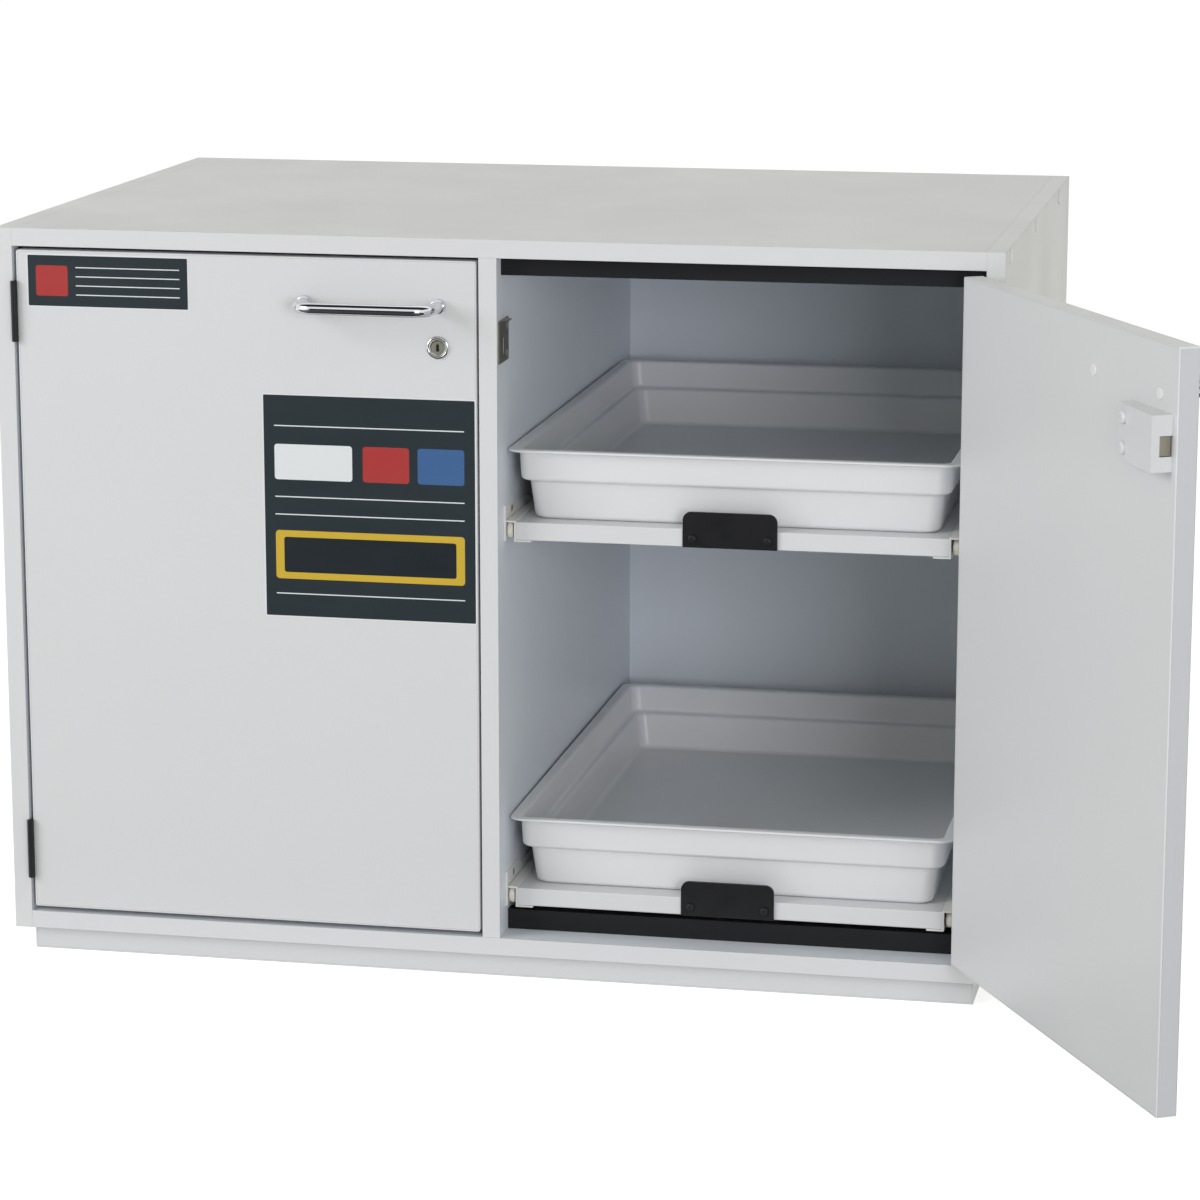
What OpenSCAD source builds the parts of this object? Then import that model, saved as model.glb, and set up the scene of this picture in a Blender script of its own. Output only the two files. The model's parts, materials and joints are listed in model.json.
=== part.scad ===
// Reagent drawer cabinet: a low melamine cabinet with two inset doors and a
// partition, and behind each door two pull-out shelves on roller runners, each
// with a removable spill tray. The left door is shut and the right one stands open.
// Origin: on the floor, under the middle of the carcass. +Z up, front towards -Y.

/* [Carcass] */
// Width over the side panels
cab_w = 835; // [700:5:1000]
// Depth of the side panels
cab_d = 570; // [500:5:650]
// Height of the side panels
cab_h = 600; // [560:5:700]
// Thickness of the carcass boards
board_t = 15; // [14:0.5:19]
// Thickness of the back panel
back_t = 8; // [5:0.5:12]
// Height of the plinth under the side panels
plinth_h = 20; // [15:1:60]
// Thickness of the plinth rails
plinth_t = 15; // [12:1:20]
// How far the plinth stands behind the front and the back
plinth_setback = 8; // [4:1:40]
// Height of the black strips that close the top of each opening
strip_h = 15.5; // [8:0.5:20]
// Depth of the black strips
strip_d = 12; // [8:1:20]
// Height of the black strips on the bottom panel
base_strip_h = 17; // [10:0.5:19]
// Front face of the bottom strips behind the front of the cabinet
base_strip_y = 30; // [20:1:60]

/* [Doors] */
// Thickness of a door
door_t = 15; // [14:0.5:19]
// Gap between a door and its side panel, which the hinge leaves fill
hinge_gap = 3.5; // [3.2:0.1:5]
// Gap between a door's free edge and the partition
free_gap = 2; // [1.5:0.25:5]
// Gap over a door
top_gap = 3; // [2:0.25:6]
// Gap under a door
bottom_gap = 4.5; // [2:0.25:8]
// Corner radius of a door, seen from the front
door_corner_r = 2; // [1:0.5:5]
// How far the right door stands open at rest, in degrees
door_rest = 119; // [95:1:150]

/* [Hinges] */
// Height of a hinge
hinge_h = 48; // [36:1:60]
// Distance of a hinge's middle from the end of its door
hinge_inset = 51; // [40:1:90]
// Radius of the hinge knuckles
knuckle_r = 2.8; // [2.4:0.1:3.2]
// Distance of the hinge axis in front of the door face
pivot_out = 2.6; // [2.5:0.1:4]
// Radius of the hinge pins
pin_r = 1.4; // [1:0.1:1.6]
// Thickness of the hinge leaves
leaf_t = 1.3; // [1:0.1:1.4]
// Depth of the leaf on the side panel
frame_leaf_d = 18; // [14:1:20]

/* [Handles] */
// Distance between the legs of a handle
handle_pitch = 112; // [96:1:160]
// Distance of the nearer leg from the free edge of the door
handle_inset = 31; // [18:1:60]
// Distance of the handles below the top of the doors
handle_z = 37; // [22:1:60]
// Radius of the handle bar
handle_r = 5; // [4:0.5:7]
// Distance of the bar's middle from the door
handle_out = 36; // [26:1:45]
// Radius of the bends, at the middle of the bar
handle_bend = 16; // [9:1:20]
// Radius of the collar at the foot of each leg
collar_r = 6; // [5.5:0.25:9]
// Radius of the handle screws
handle_screw_r = 2; // [1.5:0.25:2.5]

/* [Locks] */
// Distance of the lock cylinder from the free edge of the door
lock_inset = 32; // [28:0.5:40]
// Distance of the lock cylinder below the top of the doors
lock_z = 71; // [64:1:90]
// Radius of the lock's front ring
rosette_r = 9.5; // [9:0.25:12]
// Radius of the lock cylinder in the door
barrel_r = 7.9; // [7:0.1:9]
// Radius of the turning plug
plug_r = 5.5; // [4:0.25:6.5]
// Turn of the key from open to locked, in degrees
key_turn = 90; // [70:5:100]
// Length of the lock case
case_l = 64; // [60:1:80]
// Height of the lock case
case_h = 41; // [40:1:60]
// Thickness of the lock case
case_t = 16.5; // [15.5:0.5:20]
// Thickness of the lock case at its thin end
case_lip = 12.5; // [12:0.5:16]
// Wall of the lock case
case_wall = 1.5; // [1:0.25:2]
// Distance of the lock case from the free edge of the door
case_inset = 9; // [6:0.5:14]
// How far the case's middle lies above the lock cylinder
case_rise = 2; // [0:0.5:4]
// Height of the bolt
bolt_h = 14; // [12:0.5:18]
// Thickness of the bolt
bolt_t = 8.5; // [6:0.25:8.5]
// How far the thrown bolt reaches into the partition
bolt_grip = 5; // [3:0.25:6]
// Height of a strike plate
strike_h = 35; // [30:1:45]
// Depth of a strike plate
strike_d = 34; // [30:1:45]
// Thickness of a strike plate
strike_t = 1.2; // [1:0.1:1.5]

/* [Shelves] */
// Underside of the lower shelf above the bottom of the side panels
lower_z = 38; // [37:1:60]
// Underside of the upper shelf above the bottom of the side panels
upper_z = 350; // [300:1:370]
// Thickness of a shelf board
shelf_t = 15; // [14:0.5:22]
// Depth of a shelf board
shelf_d = 500; // [440:5:515]
// Distance from the door's inner face to the shelf front
shelf_gap = 7; // [6:0.5:15]
// Width of a pull plate
pull_w = 78; // [60:1:120]
// How far a pull plate rises over its shelf
pull_rise = 14.5; // [8:0.5:20]
// Thickness of a pull plate
pull_t = 2; // [1.5:0.25:3]
// Corner radius of a pull plate
pull_r = 7; // [3:0.5:9]
// Distance between the screws of a pull plate
pull_pitch = 62; // [40:1:66]

/* [Trays] */
// Height of a spill tray
tray_h = 60; // [45:1:90]
// Height of the upper, wider part of a tray
tray_upper_h = 27; // [15:0.5:35]
// Width of the rim outside the tray wall
tray_lip = 7.5; // [5:0.5:12]
// Thickness of the rim
tray_rim_t = 2; // [1.5:0.25:3]
// Width of the ledge between the upper and lower parts
tray_ledge = 6.5; // [5:0.5:12]
// How far the lower walls lean in towards the floor
tray_taper = 3.5; // [2:0.5:12]
// Wall of a tray
tray_wall = 2.5; // [2:0.25:4]
// Corner radius of a tray
tray_corner_r = 12; // [8:1:30]
// Distance of the tray rim behind the shelf front
tray_setback = 0; // [-5:0.5:20]

/* [Runners] */
// Thickness of the runner profiles
rail_t = 1.5; // [1.2:0.1:2]
// Radius of the rollers
roller_r = 7.2; // [6:0.1:7.4]
// Width of the rollers
roller_w = 5; // [4:0.25:7]
// Radius of the roller axles
axle_r = 2; // [1.5:0.1:2.5]
// Height of the raised front end of a cabinet rail over the shelf's underside
ear_h = 28; // [24:0.5:34]
// Length of the raised front end
ear_l = 40; // [30:1:80]
// Height of the rest of a cabinet rail over the shelf's underside
rail_h = 21; // [19:0.5:24]
// Length of a cabinet rail
rail_l = 520; // [420:5:530]
// Width of a drawer rail's flange under the shelf
under_w = 13; // [8:1:25]

/* [Fasteners] */
// Radius of the countersunk screws
screw_r = 1.6; // [1.25:0.05:2]
// Radius of the countersunk heads
screw_head_r = 3; // [2.5:0.1:3.4]
// Length of the countersunk screws
screw_l = 12; // [8:0.5:14]
// Distance of the first assembly screw from the front
assembly_y = 37; // [25:1:60]
// Distance from one assembly screw to the next
assembly_pitch = 214; // [180:1:240]
// Radius of the cover caps
cap_r = 6.5; // [5:0.25:7.4]
// Thickness of the cover caps
cap_t = 1; // [0.8:0.1:2]

/* [Hidden] */
$fn = 48;

// Small distances
cut = 0.5;          // how far a cutting shape runs past a face
clear = 0.05;       // clearance of a fixed pin or screw in its hole
pin_clear = 0.05;   // running clearance of a turning pin
slide_clear = 0.4;  // clearance round the sliding bolt
seat_clear = 0.1;   // clearance between a roller and what it carries

// Carcass. Right-hand side: partition at low x, hinge at high x, front at y = 0,
// underside of the side panels at z = 0. The left-hand side is its mirror image.
inner_x = cab_w / 2 - board_t;
part_x = board_t / 2;
top_z = cab_h - board_t;
back_y = cab_d - back_t;
strip_gap = 1;
cap_y = [for (i = [0:2]) assembly_y + i * assembly_pitch];
cap_z = [board_t / 2, cab_h - board_t / 2];
assembly_r = 2.5;
assembly_l = 45;
assembly_head_r = 5;
assembly_head_h = 4;
assembly_sink = 0.2;
socket_r = 2.1;
socket_h = 3;
peg_r = 2;
peg_h = 2.6;

// Doors
door_x0 = part_x + free_gap;
door_x1 = inner_x - hinge_gap;
door_z0 = board_t + bottom_gap;
door_z1 = top_z - top_gap;
pivot_x = inner_x - hinge_gap / 2;
pivot_y = -pivot_out;
hinge_z = [door_z0 + hinge_inset, door_z1 - hinge_inset];
handle_mid = door_z1 - handle_z;
lock_mid = door_z1 - lock_z;
knuckle_gap = 0.2;
leaf_y = 0.5;
door_leaf_d = door_t - 1;
leaf_screw_step = hinge_h / 3;
leaf_screw_y = door_t / 2;
pin_head_h = 1.2;

// Handles
leg_x = [door_x0 + handle_inset, door_x0 + handle_inset + handle_pitch];
collar_h = 7;
handle_bore = 14;
handle_head_r = 4;
handle_head_h = 2.5;
handle_cap_r = 4.5;
handle_cap_t = 1;

// Locks
lock_x = door_x0 + lock_inset;
ring_t = 2;
ring_edge = 1.1;
plug_sink = 0.8;
key_w = 2;
key_h = 6.8;
key_d = 3;
case_x0 = door_x0 + case_inset;
case_x1 = case_x0 + case_l;
case_z = lock_mid + case_rise;
case_slope = (case_t - case_lip) / case_l;
bolt_y = door_t + 1;
bolt_recess = 1;
bolt_throw = bolt_recess + case_inset + free_gap + bolt_grip;
crank_r = bolt_throw / 2 / sin(key_turn / 2);
crank_rest = 90 - key_turn / 2;
crank_t = 2;
crank_y = bolt_y + bolt_t + 0.7;
crank_pin_r = 2;
pin_x = lock_x + crank_r * cos(crank_rest);
pin_z = lock_mid + crank_r * sin(crank_rest);
spindle_r = 2.5;
spindle_clear = 0.3;
pin_slot = crank_pin_r + 0.6;
bolt_arm = pin_slot + 3;
bolt_tail = 4;
case_head_r = 4.7;
case_head_h = 2.4;
case_boss_x = case_x1 - 12;
case_boss_r = 3.8;
case_boss_h = case_lip + case_slope * (case_x1 - case_boss_x + case_head_r);
case_screw_pitch = 22;
case_screw_in = 9;
strike_y = 4;
strike_z0 = lock_mid - 13;
strike_tab = 5;
strike_tab_y = door_t + 2;
strike_tab_d = 10;
strike_screw_y = strike_y + strike_d - 6;
strike_screw_z = [lock_mid - 7, lock_mid + 15];
strike_screw_l = part_x + strike_t - 1;

// Runners and shelves
roller_play = 0.6;
web_play = 0.9;
axle_head_r = 3.2;
axle_head_t = 0.5;
door_clear = 0.75;
runner_w = rail_t + roller_play + roller_w + axle_head_t + web_play + rail_t;
spacer_t = hinge_gap / 2 + pivot_out + door_t + door_clear - rail_t - roller_play;
shelf_y = door_t + shelf_gap;
shelf_x0 = part_x + runner_w;
shelf_x1 = inner_x - spacer_t - runner_w;
shelf_xc = (shelf_x0 + shelf_x1) / 2;
axle_z = roller_r + 0.1;
axle_y = 9;
rear_axle_y = shelf_d - 12;
rear_roller_r = roller_r - 0.2;
flange_z = axle_z + roller_r + seat_clear;
track_z = axle_z - rear_roller_r - seat_clear;
track_y = axle_y + roller_r + 4;
ear_slope = 20;
rail_y0 = 0.5;
rail_screw_in = 24;
rail_screw_end = 50;
rail_screw_y = [rail_screw_in, (rail_screw_in + rail_l - rail_screw_end) / 2,
                rail_l - rail_screw_end];
stagger = 12;
spacer_h = ear_h - 4;
shelf_edge_r = 1;
pull_h = shelf_t + pull_rise;
pull_head_r = 3.4;
pull_head_h = 1.6;
pull_screw_r = 1.8;
pull_screw_l = 16;

// Trays
rim_over = runner_w - rail_t - roller_play;
rim_w = shelf_x1 - shelf_x0 + 2 * rim_over;
rim_d = shelf_d - 2 * tray_setback;
tray_draft = 1;
tray_fn = 40;
skin = 0.01;

// Colours
board_grey = [0.83, 0.84, 0.85];
black = [0.13, 0.14, 0.15];
steel = [0.72, 0.72, 0.70];
chrome = [0.80, 0.81, 0.83];
bronze = [0.42, 0.40, 0.35];
enamel = [0.90, 0.90, 0.88];
tray_grey = [0.86, 0.87, 0.87];
nylon = [0.88, 0.88, 0.90];

// ---------------------------------------------------------------- helpers

// Puts the cabinet's own coordinates into the part's frame
module place() translate([0, -cab_d / 2, plinth_h]) children();

// s = 1 for the right-hand side, -1 for its mirror image on the left
module handed(s) {
  if (s < 0) mirror([1, 0, 0]) children();
  else children();
}

// A piece of a door: shut on the left, swung open about the hinge on the right
module on_door(s) {
  if (s < 0) mirror([1, 0, 0]) children();
  else translate([pivot_x, pivot_y, 0]) rotate([0, 0, door_rest])
    translate([-pivot_x, -pivot_y, 0]) children();
}

module block(x0, x1, y0, y1, z0, z1)
  translate([x0, y0, z0]) cube([x1 - x0, y1 - y0, z1 - z0]);

// Local +Z turned to +X, -X, +Y or -Y
module to_x() rotate([0, 90, 0]) children();
module to_minus_x() rotate([0, -90, 0]) children();
module to_y() rotate([-90, 0, 0]) children();
module to_minus_y() rotate([90, 0, 0]) children();

// Rectangle with round corners of true arcs, its low corner at the origin
module round_rect(w, h, r) {
  translate([r, 0]) square([w - 2 * r, h]);
  translate([0, r]) square([w, h - 2 * r]);
  for (x = [r, w - r], y = [r, h - r]) translate([x, y]) circle(r);
}

// Countersunk screw, flush head at the origin, pointing along +Z
module screw(gap = 0, over = 0, l = screw_l) {
  head_h = screw_head_r - screw_r;
  translate([0, 0, -over]) cylinder(h = over + skin, r = screw_head_r + gap);
  cylinder(h = head_h, r1 = screw_head_r + gap, r2 = screw_r + gap);
  cylinder(h = l + gap, r = screw_r + gap);
}
module screw_hole(l = screw_l) screw(clear, cut, l);

// ---------------------------------------------------------------- places

module assembly_places()
  for (y = cap_y, z = cap_z) translate([cab_w / 2, y, z]) to_minus_x() children();

module leaf_screw_places(x)
  for (z = hinge_z, k = [-1:1])
    translate([x, leaf_screw_y, z + k * leaf_screw_step]) children();

module strike_screw_places()
  for (z = strike_screw_z)
    translate([part_x + strike_t, strike_screw_y, z]) to_minus_x() children();

// Rail screws of one compartment; the left one's are staggered behind the right one's
module partition_rail_places(s, z)
  for (y = rail_screw_y)
    translate([part_x + rail_t, shelf_y + y + (s < 0 ? stagger : 0), z + screw_rise(y)])
      to_minus_x() children();
module hinge_rail_places(s, z)
  for (y = rail_screw_y)
    translate([inner_x - spacer_t - rail_t, shelf_y + y + (s < 0 ? stagger : 0),
               z + screw_rise(y)]) to_x() children();
// Screws sit in the raised end first, then at the height of the axles
function screw_rise(y) = y < ear_l - stagger ? (ear_h + flange_z + rail_t) / 2 : axle_z;

module pull_screw_places(z)
  for (k = [-1, 1])
    translate([shelf_xc + k * pull_pitch / 2, shelf_y, z + shelf_t / 2]) children();

// ---------------------------------------------------------------- carcass

module assembly_hole() {
  translate([0, 0, -cut]) cylinder(h = assembly_sink + assembly_head_h + cut,
                                   r = assembly_head_r + clear);
  cylinder(h = assembly_l + clear, r = assembly_r + clear);
}

module side_panel(s) place() handed(s) color(board_grey) difference() {
  block(inner_x, cab_w / 2, 0, cab_d, 0, cab_h);
  assembly_places() assembly_hole();
  leaf_screw_places(inner_x - leaf_t) to_x() screw_hole();
}

module cross_panel(z) place() color(board_grey) difference() {
  block(-inner_x, inner_x, 0, cab_d, z, z + board_t);
  for (s = [-1, 1]) handed(s) assembly_places() assembly_hole();
}

module centre_partition() place() color(board_grey) difference() {
  block(-part_x, part_x, 0, back_y, board_t, top_z);
  for (s = [-1, 1]) handed(s) {
    bolt_pocket(part_x - bolt_grip - slide_clear, part_x + cut);
    strike_screw_places() screw_hole(strike_screw_l);
    for (z = [lower_z, upper_z]) partition_rail_places(s, z) screw_hole();
  }
}

module bolt_pocket(x0, x1)
  block(x0, x1, bolt_y - slide_clear, bolt_y + bolt_t + slide_clear,
        lock_mid - bolt_h / 2 - slide_clear, lock_mid + bolt_h / 2 + slide_clear);

module back_panel() place() color(board_grey)
  block(-inner_x, inner_x, back_y, cab_d, board_t, top_z);

module plinth_front_rail() place() color(board_grey)
  block(-inner_x, inner_x, plinth_setback, plinth_setback + plinth_t, -plinth_h, 0);

module plinth_rear_rail() place() color(board_grey)
  block(-inner_x, inner_x, cab_d - plinth_setback - plinth_t, cab_d - plinth_setback,
        -plinth_h, 0);

module plinth_cross_rails() place() color(board_grey)
  for (x = [-inner_x + plinth_t / 2, 0, inner_x - plinth_t / 2])
    block(x - plinth_t / 2, x + plinth_t / 2, plinth_setback + plinth_t,
          cab_d - plinth_setback - plinth_t, -plinth_h, 0);

module assembly_screws() place() color(steel) for (s = [-1, 1]) handed(s)
  assembly_places() difference() {
    union() {
      translate([0, 0, assembly_sink]) cylinder(h = assembly_head_h, r = assembly_head_r);
      translate([0, 0, assembly_sink]) cylinder(h = assembly_l - assembly_sink,
                                                r = assembly_r);
    }
    cylinder(h = assembly_sink + socket_h, r = socket_r);
  }

module cover_caps() place() color(board_grey) for (s = [-1, 1]) handed(s)
  assembly_places() {
    translate([0, 0, -cap_t]) cylinder(h = cap_t / 2, r1 = cap_r - cap_t / 2, r2 = cap_r);
    translate([0, 0, -cap_t / 2]) cylinder(h = cap_t / 2, r = cap_r);
    translate([0, 0, -skin]) cylinder(h = peg_h, r = peg_r);
  }

module seal_strips() place() color(black) for (s = [-1, 1]) handed(s) {
  block(part_x, inner_x, door_t + strip_gap, door_t + strip_gap + strip_d,
        top_z - strip_h, top_z);
  block(part_x, inner_x, base_strip_y, base_strip_y + strip_d,
        board_t, board_t + base_strip_h);
}

// ---------------------------------------------------------------- hinges

module knuckle(z0, z1)
  translate([pivot_x, pivot_y, z0]) cylinder(h = z1 - z0, r = knuckle_r);

module pin_bore()
  for (z = hinge_z) translate([pivot_x, pivot_y, z - hinge_h / 2 - cut])
    cylinder(h = hinge_h + 2 * cut, r = pin_r + pin_clear);

// The leaf on the side panel carries the upper and lower knuckles
module hinge_frame_leaves() place() color(black) for (s = [-1, 1]) handed(s)
  difference() {
    for (z = hinge_z) {
      block(inner_x - leaf_t, inner_x, leaf_y, frame_leaf_d,
            z - hinge_h / 2, z + hinge_h / 2);
      for (z0 = [z - hinge_h / 2, z + hinge_h / 6]) {
        knuckle(z0, z0 + hinge_h / 3);
        block(inner_x - leaf_t, inner_x, pivot_y, leaf_y, z0, z0 + hinge_h / 3);
      }
    }
    pin_bore();
    leaf_screw_places(inner_x - leaf_t) to_x() screw_hole();
  }

// The leaf on the door carries the middle knuckle
module door_hinge_leaves(s) place() on_door(s) color(black) difference() {
  for (z = hinge_z) {
    z0 = z - hinge_h / 6 + knuckle_gap;
    z1 = z + hinge_h / 6 - knuckle_gap;
    block(door_x1, door_x1 + leaf_t, leaf_y, door_leaf_d,
          z - hinge_h / 2, z + hinge_h / 2);
    knuckle(z0, z1);
    block(door_x1, door_x1 + leaf_t, pivot_y, leaf_y, z0, z1);
  }
  pin_bore();
  leaf_screw_places(door_x1 + leaf_t) to_minus_x() screw_hole();
}

module hinge_pins() place() color(black) for (s = [-1, 1], z = hinge_z) handed(s)
  translate([pivot_x, pivot_y, z - hinge_h / 2]) {
    translate([0, 0, -pin_head_h]) cylinder(h = pin_head_h, r = knuckle_r);
    cylinder(h = hinge_h, r = pin_r);
    translate([0, 0, hinge_h]) cylinder(h = pin_head_h, r = knuckle_r);
  }

// ---------------------------------------------------------------- strikes and screws

module strike_plates() place() color(bronze) for (s = [-1, 1]) handed(s) difference() {
  union() {
    block(part_x, part_x + strike_t, strike_y, strike_y + strike_d,
          strike_z0, strike_z0 + strike_h);
    block(part_x, part_x + strike_t + strike_tab, strike_tab_y,
          strike_tab_y + strike_tab_d, strike_z0 + strike_h - strike_t,
          strike_z0 + strike_h);
  }
  bolt_pocket(part_x - cut, part_x + strike_t + cut);
  strike_screw_places() screw_hole();
}

module carcass_screws() place() color(steel) for (s = [-1, 1]) handed(s) {
  leaf_screw_places(inner_x - leaf_t) to_x() screw();
  strike_screw_places() screw(l = strike_screw_l);
  for (z = [lower_z, upper_z]) {
    partition_rail_places(s, z) screw();
    hinge_rail_places(s, z) screw();
  }
}

// ---------------------------------------------------------------- doors

module door_panel(s) place() on_door(s) color(board_grey) difference() {
  translate([door_x0, door_t, door_z0]) rotate([90, 0, 0]) linear_extrude(door_t)
    round_rect(door_x1 - door_x0, door_z1 - door_z0, door_corner_r);
  translate([lock_x, -cut, lock_mid]) to_y() cylinder(h = door_t + 2 * cut,
                                                    r = barrel_r + clear);
  for (x = leg_x) translate([x, 0, handle_mid]) to_y() {
    translate([0, 0, -cut]) cylinder(h = door_t, r = handle_screw_r + clear);
    translate([0, 0, door_t - handle_head_h - clear])
      cylinder(h = handle_head_h + cut, r = handle_head_r + clear);
  }
  case_screw_places() translate([0, 0, -cut])
    cylinder(h = case_screw_in + cut, r = handle_screw_r + clear);
  leaf_screw_places(door_x1 + leaf_t) to_minus_x() screw_hole();
}

// From the door's inner face into the door
module case_screw_places()
  for (k = [-1, 1])
    translate([case_boss_x, door_t, case_z + k * case_screw_pitch / 2])
      to_minus_y() children();

module door_handle(s) place() on_door(s) color(chrome) difference() {
  union() {
    for (x = leg_x) translate([x, 0, handle_mid]) to_minus_y() {
      cylinder(h = handle_out - handle_bend, r = handle_r);
      cylinder(h = collar_h, r = collar_r);
      translate([0, 0, collar_h]) cylinder(h = collar_r - handle_r, r1 = collar_r,
                                           r2 = handle_r);
    }
    for (k = [0, 1])
      translate([leg_x[k] + (k == 0 ? handle_bend : -handle_bend),
                 handle_bend - handle_out, handle_mid])
        rotate([0, 0, 180 + 90 * k]) rotate_extrude(angle = 90)
          translate([handle_bend, 0]) circle(handle_r);
    translate([leg_x[0] + handle_bend, -handle_out, handle_mid]) to_x()
      cylinder(h = handle_pitch - 2 * handle_bend, r = handle_r);
  }
  for (x = leg_x) translate([x, cut, handle_mid]) to_minus_y()
    cylinder(h = handle_bore + cut, r = handle_screw_r + clear);
}

module door_caps(s) place() on_door(s) color(enamel)
  for (x = leg_x) translate([x, door_t, handle_mid]) to_y() {
    cylinder(h = handle_cap_t / 2, r = handle_cap_r);
    translate([0, 0, handle_cap_t / 2]) cylinder(h = handle_cap_t / 2,
      r1 = handle_cap_r, r2 = handle_cap_r - handle_cap_t / 2);
  }

// Handle screws, lock case screws and hinge leaf screws of one door
module door_screws(s) place() on_door(s) color(steel) {
  for (x = leg_x) translate([x, door_t - handle_head_h, handle_mid]) {
    to_y() cylinder(h = handle_head_h, r = handle_head_r);
    to_minus_y() cylinder(h = door_t - handle_head_h + handle_bore - 1,
                          r = handle_screw_r);
  }
  case_screw_places() {
    translate([0, 0, -case_boss_h - case_head_h])
      cylinder(h = case_head_h, r1 = case_head_r - case_head_h / 2, r2 = case_head_r);
    translate([0, 0, -case_boss_h]) cylinder(h = case_boss_h + case_screw_in - cut,
                                             r = handle_screw_r);
  }
  leaf_screw_places(door_x1 + leaf_t) to_minus_x() screw();
}

// ---------------------------------------------------------------- locks

module lock_barrel(s) place() on_door(s) color(chrome) translate([lock_x, 0, lock_mid])
  difference() {
    union() {
      to_minus_y() cylinder(h = ring_t / 2, r = rosette_r);
      translate([0, -ring_t / 2, 0]) to_minus_y()
        cylinder(h = ring_t / 2, r1 = rosette_r, r2 = rosette_r - ring_edge);
      to_y() cylinder(h = door_t + clear, r = barrel_r);
    }
    translate([0, -ring_t - cut, 0]) to_y()
      cylinder(h = door_t + ring_t + 2 * cut, r = plug_r + pin_clear);
  }

module lock_plug(s) place() on_door(s) color(steel) difference() {
  translate([lock_x, 0, lock_mid]) {
    translate([0, plug_sink - ring_t, 0]) to_y()
      cylinder(h = door_t + ring_t - plug_sink + clear, r = plug_r);
    translate([0, door_t, 0]) to_y()
      cylinder(h = crank_y + crank_t - door_t, r = spindle_r);
    translate([0, crank_y, 0]) to_y() cylinder(h = crank_t, r = spindle_r + 1.5);
    rotate([0, -crank_rest, 0]) block(0, crank_r, crank_y, crank_y + crank_t,
                                      -crank_pin_r, crank_pin_r);
    translate([pin_x - lock_x, 0, pin_z - lock_mid]) {
      translate([0, bolt_y + 0.5, 0]) to_y()
        cylinder(h = crank_y + crank_t - bolt_y - 0.5, r = crank_pin_r);
      translate([0, crank_y, 0]) to_y() cylinder(h = crank_t, r = crank_pin_r + 1.5);
    }
  }
  block(lock_x - key_w / 2, lock_x + key_w / 2, -ring_t - cut, plug_sink - ring_t + key_d,
        lock_mid - key_h / 2, lock_mid + key_h / 2);
}

// Outline of the lock case, seen along the door, set in by a wall. It thins
// evenly towards the hinge side.
module case_outline(wall) {
  y_low = door_t - (wall > 0 ? cut : 0);
  polygon([
    [case_x0 + wall, y_low],
    [case_x0 + wall, door_t + case_t - wall - case_slope * wall],
    [case_x1 - wall, door_t + case_lip - wall + case_slope * wall],
    [case_x1 - wall, y_low]
  ]);
}

module lock_case(s) place() on_door(s) color(board_grey) difference() {
  union() {
    difference() {
      translate([0, 0, case_z - case_h / 2]) linear_extrude(case_h) case_outline(0);
      translate([0, 0, case_z - case_h / 2 + case_wall])
        linear_extrude(case_h - 2 * case_wall) case_outline(case_wall);
    }
    case_screw_places() translate([0, 0, -case_boss_h])
      cylinder(h = case_boss_h, r = case_boss_r);
  }
  block(case_x0 - cut, case_x0 + case_wall + cut, door_t - cut,
        bolt_y + bolt_t + slide_clear, lock_mid - bolt_h / 2 - slide_clear,
        lock_mid + bolt_h / 2 + slide_clear);
  case_screw_places() translate([0, 0, -case_t])
    cylinder(h = case_t + cut, r = handle_screw_r + clear);
}

// A flat bolt with a slot for the spindle and an arm with a slot for the crank pin
module lock_bolt(s) place() on_door(s) color(steel) difference() {
  union() {
    block(case_x0 + bolt_recess, lock_x + bolt_throw + spindle_r + bolt_tail,
          bolt_y, bolt_y + bolt_t, lock_mid - bolt_h / 2, lock_mid + bolt_h / 2);
    block(pin_x - bolt_arm, pin_x + bolt_arm, bolt_y, bolt_y + bolt_t,
          lock_mid, lock_mid + crank_r + pin_slot + 3);
  }
  block(lock_x - spindle_r - spindle_clear,
        lock_x + bolt_throw + spindle_r + spindle_clear, bolt_y - cut,
        bolt_y + bolt_t + cut, lock_mid - spindle_r - spindle_clear,
        lock_mid + spindle_r + spindle_clear);
  block(pin_x - pin_slot, pin_x + pin_slot, bolt_y - cut, bolt_y + bolt_t + cut,
        pin_z - crank_pin_r - spindle_clear, lock_mid + crank_r + pin_slot);
}

// ---------------------------------------------------------------- runners

// Both runners of a shelf stand on the walls of the compartment at the shelf's height
module runner_pair(s, z) handed(s) {
  translate([part_x, shelf_y, z]) children();
  translate([inner_x - spacer_t, shelf_y, z]) mirror([1, 0, 0]) children();
}

module cabinet_rail() {
  rotate([90, 0, 90]) linear_extrude(rail_t) polygon([
    [rail_y0, track_z - rail_t], [rail_l, track_z - rail_t], [rail_l, rail_h],
    [ear_l + ear_slope, rail_h], [ear_l, ear_h], [rail_y0, ear_h]
  ]);
  block(0, rail_t + roller_play + roller_w, track_y, rail_l, track_z - rail_t, track_z);
  translate([rail_t - skin, axle_y, axle_z]) to_x() {
    cylinder(h = roller_play + roller_w + pin_clear + skin, r = axle_r);
    translate([0, 0, roller_play + roller_w + pin_clear])
      cylinder(h = axle_head_t, r = axle_head_r);
  }
}

module cabinet_rails(s, z) difference() {
  runner_pair(s, z) cabinet_rail();
  handed(s) {
    partition_rail_places(s, z) screw_hole();
    hinge_rail_places(s, z) screw_hole();
  }
}

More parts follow.
